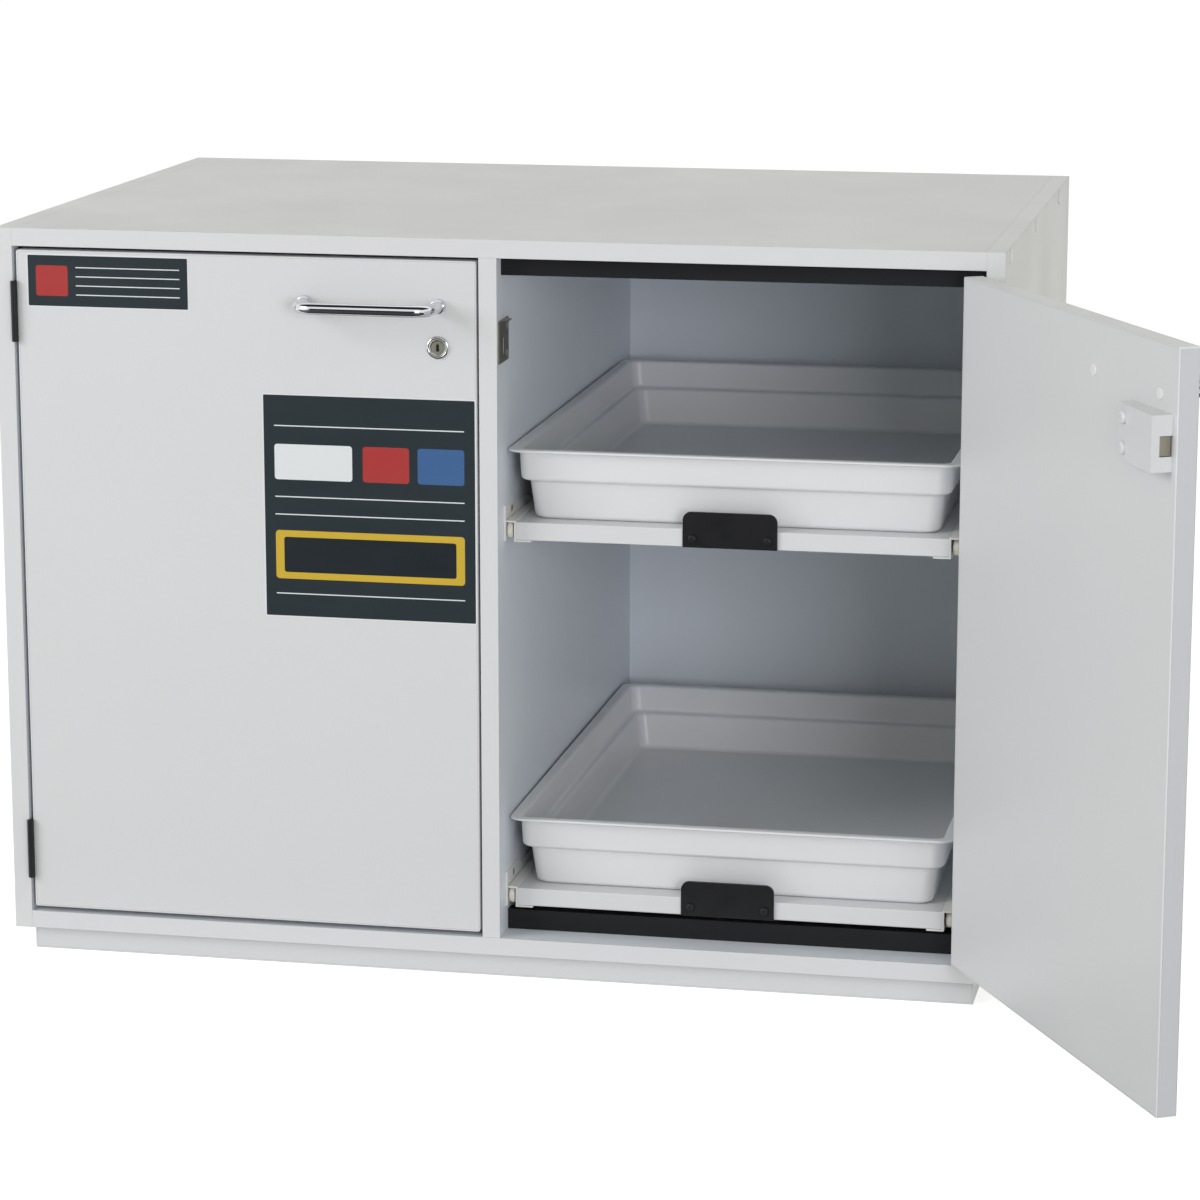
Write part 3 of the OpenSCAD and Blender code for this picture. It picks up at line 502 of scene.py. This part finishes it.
def from_bmesh(name, bm):
    mesh = bpy.data.meshes.new(name)
    bmesh.ops.recalc_face_normals(bm, faces=bm.faces)
    bm.to_mesh(mesh)
    bm.free()
    return mesh


def rounded_ring(x0, x1, y0, y1, radius, z, steps):
    """Points of a round-cornered rectangle, going round once."""
    points = []
    centres = ((x1 - radius, y1 - radius, 0), (x0 + radius, y1 - radius, 90),
               (x0 + radius, y0 + radius, 180), (x1 - radius, y0 + radius, 270))
    for cx, cy, start in centres:
        for step in range(steps + 1):
            angle = math.radians(start + 90 * step / steps)
            points.append(Vector((cx + radius * math.cos(angle),
                                  cy + radius * math.sin(angle), z)))
    return points


def in_mm(points):
    """Pairs written in millimetres, as metres."""
    return [(first * MM, second * MM) for first, second in points]


def round_ring(radius, height, sides):
    """Points of a circle at a height."""
    return [Vector((radius * math.cos(2 * math.pi * step / sides),
                    radius * math.sin(2 * math.pi * step / sides), height))
            for step in range(sides)]


def bridge(bm, rings, close_first=False, close_last=False, loop=False):
    """Joins rings of equal length with quads; loop joins the last to the first."""
    made = [[bm.verts.new(point) for point in ring] for ring in rings]
    count = len(made[0])
    pairs = list(zip(made, made[1:])) + ([(made[-1], made[0])] if loop else [])
    for lower, upper in pairs:
        for index in range(count):
            follow = (index + 1) % count
            bm.faces.new((lower[index], lower[follow], upper[follow], upper[index]))
    if close_first:
        bm.faces.new(list(reversed(made[0])))
    if close_last:
        bm.faces.new(made[-1])


def lathe(bm, profile, place, sides, loop=False):
    """Turns (radius, height) points about a local z axis that place puts in position."""
    rings = [[place @ point for point in round_ring(radius, height, sides)]
             for radius, height in profile]
    bridge(bm, rings, not loop, not loop, loop)


OUTWARD = Matrix.Rotation(math.radians(90), 4, "X")
INWARD = Matrix.Rotation(math.radians(-90), 4, "X")
SIDE_X = Matrix.Rotation(math.radians(90), 4, "Y")
SIDE_MINUS_X = Matrix.Rotation(math.radians(-90), 4, "Y")


# ---------------------------------------------------------------- trays

TRAY_LIP = 7.5 * MM
TRAY_LEDGE = 6.5 * MM
TRAY_DRAFT = 1 * MM
TRAY_TAPER = 3.5 * MM
TRAY_WALL = 2.4 * MM
TRAY_UPPER_H = 27 * MM
TRAY_CORNER = 12 * MM
TRAY_BEND = 3.2 * MM
TRAY_FOOT = 4.5 * MM
TRAY_FLOOR_STEP = 3 * MM
TRAY_ROLL = 1.1 * MM
TRAY_RIM_T = 2 * MM
TRAY_UNDER_R = 2 * MM
TRAY_SHOULDER_R = 2.6 * MM


def arc(centre, radius, start, end, steps=4):
    """Points of an arc in the (inset, height) plane, angles in degrees."""
    points = []
    for step in range(steps + 1):
        angle = math.radians(start + (end - start) * step / steps)
        points.append((centre[0] + radius * math.cos(angle),
                       centre[1] + radius * math.sin(angle)))
    return points


def tray_profile(height, wall):
    """Inset from the rim and height, from the rim's edge down to the floor. The
    outside skin has wall 0; the inside skin is drawn in by the wall."""
    ledge_z = height - TRAY_UPPER_H + wall
    top_in = TRAY_LIP + wall
    ledge_in = TRAY_LIP + TRAY_DRAFT + wall
    lower_in = ledge_in + TRAY_LEDGE
    floor_in = lower_in + TRAY_TAPER
    lean = TRAY_TAPER / (ledge_z - wall)
    profile = arc((ledge_in + TRAY_BEND, ledge_z + TRAY_BEND), TRAY_BEND, 182, 262)
    profile += arc((lower_in - TRAY_BEND, ledge_z - TRAY_BEND), TRAY_BEND, 78, 8)
    profile += arc((floor_in + TRAY_FOOT - TRAY_FOOT * lean, wall + TRAY_FOOT), TRAY_FOOT,
                   188, 270, 6)
    profile.append((profile[-1][0] + TRAY_FLOOR_STEP, wall))
    return top_in, profile


def tray_mesh(node):
    """A thermoformed tray: rolled rim, stepped wall and filleted floor."""
    low, high = corners(node)
    height = high.z - low.z

    def rings(points, wall):
        return [rounded_ring(low.x + inset, high.x - inset, low.y + inset, high.y - inset,
                             TRAY_CORNER - wall, low.z + z, 8) for inset, z in points]

    outer_in, outer = tray_profile(height, 0.0)
    inner_in, inner = tray_profile(height, TRAY_WALL)
    rim_under = height - TRAY_RIM_T
    under = arc((outer_in - TRAY_UNDER_R, rim_under - TRAY_UNDER_R), TRAY_UNDER_R, 90, 5)
    lip = [(TRAY_ROLL, rim_under)]
    lip += arc((TRAY_ROLL, height - TRAY_ROLL), TRAY_ROLL, 250, 90, 6)
    shoulder = arc((inner_in - TRAY_SHOULDER_R, height - TRAY_SHOULDER_R), TRAY_SHOULDER_R,
                   90, 3, 5)
    outside = rings(list(reversed(outer)) + list(reversed(under)) + lip, 0.0)
    bm = bmesh.new()
    bridge(bm, outside + rings(shoulder + inner, TRAY_WALL), True, True)
    return from_bmesh(node, bm)


TRAY_BODIES = {"left_upper_tray": "carcass", "left_lower_tray": "carcass",
               "right_upper_tray": "right_upper_drawer",
               "right_lower_tray": "right_lower_drawer"}
for tray, body in TRAY_BODIES.items():
    moulded = add(tray + "_moulded", tray_mesh(tray), TRAY, body)
    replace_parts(moulded, tray)


# ---------------------------------------------------------------- rollers

ROLLER_W = 5 * MM
ROLLER_BORE = 2.05 * MM
# Radius of the tread's edges, wall of the hub at its top and foot, depth of the web
ROLLER_ROUND = 1.3 * MM
ROLLER_HUB = 1.4 * MM
ROLLER_HUB_FOOT = 1.6 * MM
ROLLER_WEB_IN = 0.5 * MM


def roller(bm, x, y, z, radius):
    """A nylon roller with rounded tread edges and a raised hub, its axis along x."""
    tread = radius - ROLLER_ROUND
    profile = [(ROLLER_BORE, 0), (ROLLER_BORE + ROLLER_HUB, 0),
               (ROLLER_BORE + ROLLER_HUB_FOOT, ROLLER_WEB_IN),
               (tread - 0.8 * MM, ROLLER_WEB_IN), (tread - 0.5 * MM, 0.1 * MM)]
    profile += [(tread + ROLLER_ROUND * math.sin(math.radians(turn)),
                 ROLLER_ROUND * (1 - math.cos(math.radians(turn))))
                for turn in (10, 35, 60, 90)]
    profile += [(reach, ROLLER_W - height) for reach, height in reversed(profile)]
    lathe(bm, profile, Matrix.Translation(Vector((x, y, z))) @ SIDE_X, 40, True)


def roller_set(name, node, body, places):
    """All rollers of one node, at the (x, y, z, radius) given."""
    bm = bmesh.new()
    for x, y, z, radius in places:
        roller(bm, x, y, z, radius)
    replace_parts(add(name, from_bmesh(name, bm), NYLON, body), node)


# The left-hand rollers share a node; the right-hand ones give their mirrored places
LEFT_ROLLERS = []
for level in ("upper", "lower"):
    for end in ("front", "rear"):
        carrier = "right_" + level + "_" + end + "_rollers"
        low, high = corners(carrier)
        radius = (high.z - low.z) / 2
        middle = (low + high) / 2
        roller_set(carrier + "_turned", carrier, carrier,
                   [(x, middle.y, middle.z, radius) for x in (low.x, high.x - ROLLER_W)])
        LEFT_ROLLERS += [(x, middle.y, middle.z, radius)
                         for x in (-high.x, -low.x - ROLLER_W)]
roller_set("left_rollers_turned", "left_rollers", "carcass", LEFT_ROLLERS)


# ---------------------------------------------------------------- handles

HANDLE_R = 4.98 * MM
HANDLE_BEND = 16 * MM
HANDLE_BAR_IN = 5 * MM
HANDLE_LEAD = 0.1 * MM
BEND_STEPS = 16
COLLAR_R = 6 * MM

# Radius and height out of the door's face of the stepped collars, in millimetres
COLLAR = ((6.0, 0), (6.0, 2.0), (5.75, 2.35), (5.3, 2.45), (5.3, 2.95), (5.75, 3.05),
          (6.0, 3.4), (6.0, 5.4), (5.75, 5.75), (5.3, 5.85), (5.3, 6.3), (5.6, 6.4),
          (5.7, 6.7), (5.6, 7.0), (4.9, 7.25))


def tube(bm, points, radius, sides=40):
    """A round tube along points that lie in one horizontal plane."""
    rings = []
    for index, point in enumerate(points):
        before = points[max(index - 1, 0)]
        after = points[min(index + 1, len(points) - 1)]
        side = Vector((0, 0, 1)).cross((after - before).normalized())
        rings.append([point + spoke.x * side + spoke.y * Vector((0, 0, 1))
                      for spoke in round_ring(radius, 0, sides)])
    bridge(bm, rings, True, True)


def handle_mesh(name):
    """The bow handle on the shut left door: two legs with stepped collars, two bends
    and a bar."""
    low, high = corners("left_door_handle")
    z = (low.z + high.z) / 2
    feet = (low.x + COLLAR_R, high.x - COLLAR_R)
    bar_y = low.y + HANDLE_BAR_IN
    points = [Vector((feet[0], FRONT_Y, z)),
              Vector((feet[0], bar_y + HANDLE_BEND + HANDLE_LEAD, z)),
              Vector((feet[0], bar_y + HANDLE_BEND, z))]
    for centre_x, start, end in ((feet[0] + HANDLE_BEND, 180, 270),
                                 (feet[1] - HANDLE_BEND, 270, 360)):
        for step in range(1, BEND_STEPS + 1):
            angle = math.radians(start + (end - start) * step / BEND_STEPS)
            points.append(Vector((centre_x + HANDLE_BEND * math.cos(angle),
                                  bar_y + HANDLE_BEND + HANDLE_BEND * math.sin(angle), z)))
    points += [Vector((feet[1], bar_y + HANDLE_BEND + HANDLE_LEAD, z)),
               Vector((feet[1], FRONT_Y, z))]
    bm = bmesh.new()
    tube(bm, points, HANDLE_R)
    for x in feet:
        place = Matrix.Translation(Vector((x, FRONT_Y, z))) @ OUTWARD
        lathe(bm, in_mm(COLLAR), place, 40)
    return from_bmesh(name, bm)


for side in ("left", "right"):
    bow = add(side + "_bow_handle", handle_mesh(side + "_bow"), CHROME, side + "_door",
              ON_DOOR[side])
    bow.data.set_sharp_from_angle(angle=math.radians(38))
    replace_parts(bow, side + "_door_handle")


# ---------------------------------------------------------------- locks

BARREL_LOW, BARREL_HIGH = corners("left_lock_barrel")
LOCK_X = (BARREL_LOW.x + BARREL_HIGH.x) / 2
LOCK_Z = (BARREL_LOW.z + BARREL_HIGH.z) / 2
LOCK_AT = Matrix.Translation(Vector((LOCK_X, FRONT_Y, LOCK_Z))) @ OUTWARD
LOCK_FACE = srgb(204, 202, 186)

# Radius and height out of the door's face, in millimetres; the keyhole's x and z from the lock's
# axis, and the heights of its floor and its mouth, between which a dark block is painted shade
RING = ((9.5, 0), (9.5, 0.7), (9.3, 1.3), (8.85, 1.75), (8.2, 1.98), (7.5, 1.98), (7.3, 1.75),
        (7.3, 1.3), (6.05, 1.3), (6.05, 0.3), (5.6, 0.3), (5.6, -15), (7.9, -15), (7.9, 0))
FACE = ((7.25, 1.25), (7.25, 1.6), (7.05, 1.78), (6.2, 1.78), (6.0, 1.6), (6.0, 1.25))
KEYHOLE = ((-1.3, -2.9), (0.9, -2.9), (1.3, -2.4), (1.3, -0.5), (0.7, -0.1), (1.25, 0.4),
           (1.25, 1.7), (0.6, 2.9), (-0.7, 2.9), (-1.3, 1.6))
KEYHOLE_HEIGHTS = (0.4, 1.23)

for side in ("left", "right"):
    centre = ON_DOOR[side] @ Vector((LOCK_X, FRONT_Y, LOCK_Z))
    ahead = (ON_DOOR[side] @ Vector((LOCK_X, FRONT_Y - 1, LOCK_Z))) - centre
    faced = turned_metal(side + "_turned_nickel", LOCK_FACE, 0.36, tuple(centre),
                         tuple(ahead))
    finish_with(faced, side + "_lock_plug")
    for label, profile, material, slot in (("ring", RING, CHROME, "chrome"),
                                           ("face", FACE, faced, "plated_steel")):
        bm = bmesh.new()
        lathe(bm, in_mm(profile), LOCK_AT, 48, True)
        piece = add(side + "_lock_" + label, from_bmesh(label, bm), material, side + "_door",
                    ON_DOOR[side])
        piece.data.set_sharp_from_angle(angle=math.radians(50))
        if label == "ring":
            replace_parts(piece, side + "_lock_barrel")
    # Painted shade: a dark block in the keyhole stands in for its dark depth
    bm = bmesh.new()
    bridge(bm, [[LOCK_AT @ Vector((x * MM, y * MM, height * MM)) for x, y in KEYHOLE]
                for height in KEYHOLE_HEIGHTS], True, True)
    add(side + "_keyway", from_bmesh("keyway_shade", bm), RECESS_SHADE, side + "_plug",
        ON_DOOR[side], smooth=False)


# ---------------------------------------------------------------- screws

SOCKET_R = 1.5 * MM
SOCKET_TAPER = 0.97
CASE_SOCKET_DEPTH = 0.25 * MM
PULL_SOCKET_DEPTH = 1.2 * MM
CROSS_HEIGHTS = (-0.3 * MM, 0.04 * MM)


def hex_ring(radius, height, sides):
    """A hexagon's outline with the same number of points as a round ring."""
    points = []
    for step in range(sides):
        angle = 2 * math.pi * step / sides
        turn = (angle % (math.pi / 3)) - math.pi / 6
        reach = radius * math.cos(math.pi / 6) / math.cos(turn)
        points.append(Vector((reach * math.cos(angle), reach * math.sin(angle), height)))
    return points


def socket_screw(bm, place, profile, socket, depth):
    """A head of the given (radius, height) profile with a hexagon socket; local z
    points out of the work."""
    sides = 36
    top = profile[-1][1]
    rings = [round_ring(radius, height, sides) for radius, height in profile]
    rings.append(hex_ring(socket, top, sides))
    rings.append(hex_ring(socket * SOCKET_TAPER, top - depth, sides))
    bridge(bm, [[place @ point for point in ring] for ring in rings], False, True)


def painted_cross_shade(bm, place, reach, width):
    """A dark cross of painted shade that stands in for a driver recess, lying a hair above a
    flush head.
    """
    half = width / 2
    outline = [(half, half), (half, reach), (-half, reach), (-half, half), (-reach, half),
               (-reach, -half), (-half, -half), (-half, -reach), (half, -reach),
               (half, -half), (reach, -half), (reach, half)]
    rings = [[place @ Vector((x, y, z)) for x, y in outline] for z in CROSS_HEIGHTS]
    bridge(bm, rings, True, True)


# Lock case screws, which stand on the sloping face of the case
CASE_LOW, CASE_HIGH = corners("left_lock_case")
CASE_SCREW_PITCH = 22 * MM
CASE_SCREW_IN = 12 * MM
CASE_SCREW_OUT = 13.5 * MM
PAN = in_mm(((4.8, 0), (4.8, 1.2), (4.65, 1.75), (4.3, 2.2), (3.8, 2.5), (3.1, 2.66),
             (2.4, 2.7)))
for side in ("left", "right"):
    bm = bmesh.new()
    for sign in (-1, 1):
        spot = Vector((CASE_LOW.x + CASE_SCREW_IN, INNER_Y + CASE_SCREW_OUT,
                       (CASE_LOW.z + CASE_HIGH.z) / 2 + sign * CASE_SCREW_PITCH / 2))
        socket_screw(bm, Matrix.Translation(spot) @ INWARD, PAN, SOCKET_R, CASE_SOCKET_DEPTH)
    heads = add(side + "_case_screw_heads", from_bmesh(side + "_heads", bm), CASE,
                side + "_door", ON_DOOR[side])
    heads.data.set_sharp_from_angle(angle=math.radians(40))

# Pull plate screws
PULL_PITCH = 62 * MM
BUTTON = in_mm(((3.5, 0), (3.48, 0.5), (3.2, 1.1), (2.7, 1.55), (2.1, 1.8), (1.9, 1.85)))
for level in ("upper", "lower"):
    low, high = corners("right_" + level + "_pull_plate")
    shelf_low, shelf_high = corners("right_" + level + "_shelf")
    for side in ("left", "right"):
        bm = bmesh.new()
        for sign in (-1, 1):
            x = (low.x + high.x) / 2 + sign * PULL_PITCH / 2
            spot = Vector((-x, low.y, (shelf_low.z + shelf_high.z) / 2))
            socket_screw(bm, Matrix.Translation(spot) @ OUTWARD, BUTTON, SOCKET_R,
                         PULL_SOCKET_DEPTH)
        body = "carcass" if side == "left" else "right_" + level + "_drawer"
        heads = add(side + "_" + level + "_pull_heads", from_bmesh("pull_heads", bm), BLACK,
                    body, ON_SIDE[side])
        heads.data.set_sharp_from_angle(angle=math.radians(40))

# Painted shade of the cross recesses of the flush screws in the hinge leaves
LEAF_LOW, LEAF_HIGH = corners("left_door_hinge_leaves")
HINGE_H = 48 * MM
LEAF_SCREW_Y = FRONT_Y + 7.5 * MM
LEAF_OUT = 1.3 * MM
CROSS_REACH = 1.7 * MM
CROSS_W = 0.6 * MM
LEAF_MIDDLES = (LEAF_LOW.z + HINGE_H / 2, LEAF_HIGH.z - HINGE_H / 2)
for side in ("left", "right"):
    bm = bmesh.new()
    for middle in LEAF_MIDDLES:
        for step in (-1, 0, 1):
            spot = Vector((DOOR_LOW.x - LEAF_OUT, LEAF_SCREW_Y, middle + step * HINGE_H / 3))
            painted_cross_shade(bm, Matrix.Translation(spot) @ SIDE_MINUS_X, CROSS_REACH, CROSS_W)
    add(side + "_leaf_recess_shades", from_bmesh("leaf_recess_shades", bm), RECESS_SHADE, side + "_door",
        ON_DOOR[side], smooth=False)


# ---------------------------------------------------------------- label plates

def printed(name, colour, roughness, specular=0.5):
    """The smooth film of a label, in one colour."""
    return plastic(name, colour, roughness, grain=0.004, soft=0.0, specular=specular)


SLATE = printed("slate_label", srgb(43, 52, 57), 0.34, 0.35)
SLATE_DEEP = printed("slate_label_lower", srgb(33, 41, 45), 0.34, 0.35)
PALE = printed("pale_print", srgb(222, 225, 226), 0.4)
OCHRE = printed("ochre_print", srgb(205, 172, 48), 0.4)
BRICK = printed("brick_print", srgb(171, 52, 50), 0.4)
BLUE = printed("blue_print", srgb(58, 98, 148), 0.4)
FILM = 0.14 * MM
FILM_SUNK = 0.05 * MM
LAYER_T = 0.03 * MM


def film(bm, x0, x1, z0, z1, radius, layer):
    """A thin rounded sheet on the door's face; layer counts up from the door."""
    top = FRONT_Y - FILM - layer * LAYER_T
    flat = rounded_ring(x0, x1, z0, z1, radius, 0.0, 6)
    rings = [[Vector((p.x, y, p.y)) for p in flat] for y in (FRONT_Y + FILM_SUNK, top)]
    bridge(bm, rings, True, True)


def sheet_piece(name, rectangles, material, layer):
    """One sticker layer made of round-cornered rectangles (x0, x1, z0, z1, radius)."""
    bm = bmesh.new()
    for x0, x1, z0, z1, radius in rectangles:
        film(bm, x0, x1, z0, z1, radius, layer)
    add(name, from_bmesh(name, bm), material, "left_door", smooth=False)


# Each as (x0, x1, z0, z1): x from the free edge or the hinge edge, z from the floor
PANEL = (DOOR_HIGH.x - 180 * MM, DOOR_HIGH.x - 1.8 * MM, 303 * MM, 488 * MM)
BADGE = (DOOR_LOW.x + 10 * MM, DOOR_LOW.x + 147 * MM, 556 * MM, 598 * MM)
BORDER = 1.1 * MM


def inner(rectangle, left, right, low, high, radius):
    """A rectangle inside another, given in fractions of it."""
    x0, x1, z0, z1 = rectangle
    return (x0 + (x1 - x0) * left, x0 + (x1 - x0) * right,
            z0 + (z1 - z0) * low, z0 + (z1 - z0) * high, radius)


def outer(rectangle, margin, radius):
    """A rectangle grown by a margin on every side."""
    x0, x1, z0, z1 = rectangle
    return (x0 - margin, x1 + margin, z0 - margin, z1 + margin, radius)


sheet_piece("label_borders", [outer(PANEL, BORDER, 1.4 * MM), outer(BADGE, BORDER, 1.4 * MM)],
            PALE, 0)
sheet_piece("label_panel_film", [PANEL + (0.8 * MM,)], SLATE, 1)
sheet_piece("label_badge_film", [BADGE + (0.8 * MM,)], SLATE, 1)
sheet_piece("label_panel_rules",
            [inner(PANEL, 0.05, 0.95, z, z + 0.005, 0.3 * MM) for z in (0.10, 0.46, 0.54, 0.86)]
            + [inner(PANEL, 0.05, 0.42, 0.62, 0.78, 2.5 * MM)], PALE, 2)
sheet_piece("label_panel_ochre", [inner(PANEL, 0.05, 0.95, 0.17, 0.39, 3 * MM)], OCHRE, 2)
sheet_piece("label_panel_field", [inner(PANEL, 0.09, 0.91, 0.20, 0.36, 2 * MM)],
            SLATE_DEEP, 3)
sheet_piece("label_panel_brick", [inner(PANEL, 0.47, 0.69, 0.62, 0.78, 2.5 * MM)], BRICK, 2)
sheet_piece("label_panel_blue", [inner(PANEL, 0.73, 0.95, 0.62, 0.78, 2.5 * MM)], BLUE, 2)
sheet_piece("label_badge_rules",
            [inner(BADGE, 0.30, 0.95, z, z + 0.02, 0.2 * MM) for z in (0.22, 0.40, 0.58, 0.76)],
            PALE, 2)
sheet_piece("label_badge_card", [inner(BADGE, 0.05, 0.25, 0.2, 0.8, 2 * MM)], BRICK, 2)


# ---------------------------------------------------------------- studio

FLOOR_SIZE = 60
FLOOR_GREY = (0.78, 0.78, 0.78, 1)
FLOOR_GLOW = 0.66
WORLD_COLOUR = (1.0, 1.0, 0.9, 1)
WORLD_STRENGTH = 0.48
CARD_COLOUR = (0.012, 0.014, 0.018, 1)
CAMERA_PLACE = (0.7275, -3.4077, 1.0157)
CAMERA_DOWN = 12.187
CAMERA_TURN = 11.493


def background_rays(tree):
    """1 for rays of the camera, of reflections and through glass, else 0."""
    ray = tree.nodes.new("ShaderNodeLightPath")
    level = ray.outputs["Is Camera Ray"]
    for kind in ("Is Glossy Ray", "Is Transmission Ray"):
        most = tree.nodes.new("ShaderNodeMath")
        most.operation = "MAXIMUM"
        tree.links.new(level, most.inputs[0])
        tree.links.new(ray.outputs[kind], most.inputs[1])
        level = most.outputs[0]
    return level


def stage_floor():
    """A wide pale floor that keeps the cabinet's shadow and looks white to the camera."""
    bpy.ops.mesh.primitive_plane_add(size=FLOOR_SIZE, location=(0, 0, 0))
    floor = bpy.context.object
    floor.name = "studio_floor"
    material = bpy.data.materials.new("studio_floor")
    material.use_nodes = True
    tree = material.node_tree
    tree.nodes.clear()
    matte = tree.nodes.new("ShaderNodeBsdfDiffuse")
    matte.inputs["Color"].default_value = FLOOR_GREY
    glow = tree.nodes.new("ShaderNodeEmission")
    level = tree.nodes.new("ShaderNodeMath")
    level.operation = "MULTIPLY"
    level.inputs[1].default_value = FLOOR_GLOW
    tree.links.new(background_rays(tree), level.inputs[0])
    tree.links.new(level.outputs[0], glow.inputs["Strength"])
    total = tree.nodes.new("ShaderNodeAddShader")
    out = tree.nodes.new("ShaderNodeOutputMaterial")
    tree.links.new(matte.outputs[0], total.inputs[0])
    tree.links.new(glow.outputs[0], total.inputs[1])
    tree.links.new(total.outputs[0], out.inputs["Surface"])
    floor.data.materials.append(material)


def studio_world():
    """Soft even surroundings; white where the camera or a reflection sees them."""
    world = bpy.data.worlds.new("studio")
    bpy.context.scene.world = world
    world.use_nodes = True
    tree = world.node_tree
    tree.nodes.clear()
    soft = tree.nodes.new("ShaderNodeBackground")
    soft.inputs["Color"].default_value = WORLD_COLOUR
    soft.inputs["Strength"].default_value = WORLD_STRENGTH
    white = tree.nodes.new("ShaderNodeBackground")
    white.inputs["Color"].default_value = (1, 1, 1, 1)
    mix = tree.nodes.new("ShaderNodeMixShader")
    out = tree.nodes.new("ShaderNodeOutputWorld")
    tree.links.new(background_rays(tree), mix.inputs[0])
    tree.links.new(soft.outputs[0], mix.inputs[1])
    tree.links.new(white.outputs[0], mix.inputs[2])
    tree.links.new(mix.outputs[0], out.inputs["Surface"])


def dark_card(name, place, size, tilt=0.0):
    """A dark studio card for reflections alone; level, or tilted up about x."""
    bm = bmesh.new()
    bmesh.ops.create_grid(bm, x_segments=1, y_segments=1, size=0.5)
    mesh = bpy.data.meshes.new(name)
    bm.to_mesh(mesh)
    bm.free()
    made = bpy.data.objects.new(name, mesh)
    made.location = place
    made.scale = (size[0], size[1], 1)
    made.rotation_euler = (math.radians(tilt), 0, 0)
    material = bpy.data.materials.new(name)
    material.use_nodes = True
    shader = material.node_tree.nodes["Principled BSDF"]
    shader.inputs["Base Color"].default_value = CARD_COLOUR
    mesh.materials.append(material)
    made.visible_camera = False
    made.visible_diffuse = False
    made.visible_shadow = False
    made.visible_transmission = False
    bpy.context.scene.collection.objects.link(made)


def lamp(name, place, target, size, power, colour):
    """A square soft light aimed at target."""
    data = bpy.data.lights.new(name, "AREA")
    data.size = size
    data.energy = power
    data.color = colour
    made = bpy.data.objects.new(name, data)
    made.location = place
    made.rotation_euler = (Vector(target) - Vector(place)).to_track_quat("-Z", "Y").to_euler()
    bpy.context.scene.collection.objects.link(made)


def camera():
    """The photograph's viewpoint: a long lens, 11.5 degrees to the right and 12 above."""
    data = bpy.data.cameras.new("camera")
    data.sensor_width = 36
    data.lens = 120
    data.clip_end = 60
    made = bpy.data.objects.new("camera", data)
    made.location = CAMERA_PLACE
    made.rotation_euler = (math.radians(90 - CAMERA_DOWN), 0, math.radians(CAMERA_TURN))
    bpy.context.scene.collection.objects.link(made)
    bpy.context.scene.camera = made


stage_floor()
studio_world()
dark_card("card_above", (0, -0.81, 1.9), (4.0, 1.5))
dark_card("card_below", (0, -2.43, 0.02), (4.0, 4.16))
dark_card("card_front", (0, -4.5, 0.73), (4.0, 1.44), 90)
lamp("key", (-3.3, -2.7, 1.9), (0.3, -0.2, 0.3), 2.2, 82, (0.95, 0.94, 1.0))
lamp("front", (1.75, -3.6, 0.9), (0, 0, 0.3), 1.2, 42, (0.93, 0.93, 1.0))
lamp("top", (0.3, 0.2, 3.4), (0.1, -0.1, 0.3), 2.6, 5, (1.0, 0.98, 0.94))
camera()
bpy.context.scene.view_settings.view_transform = "Standard"
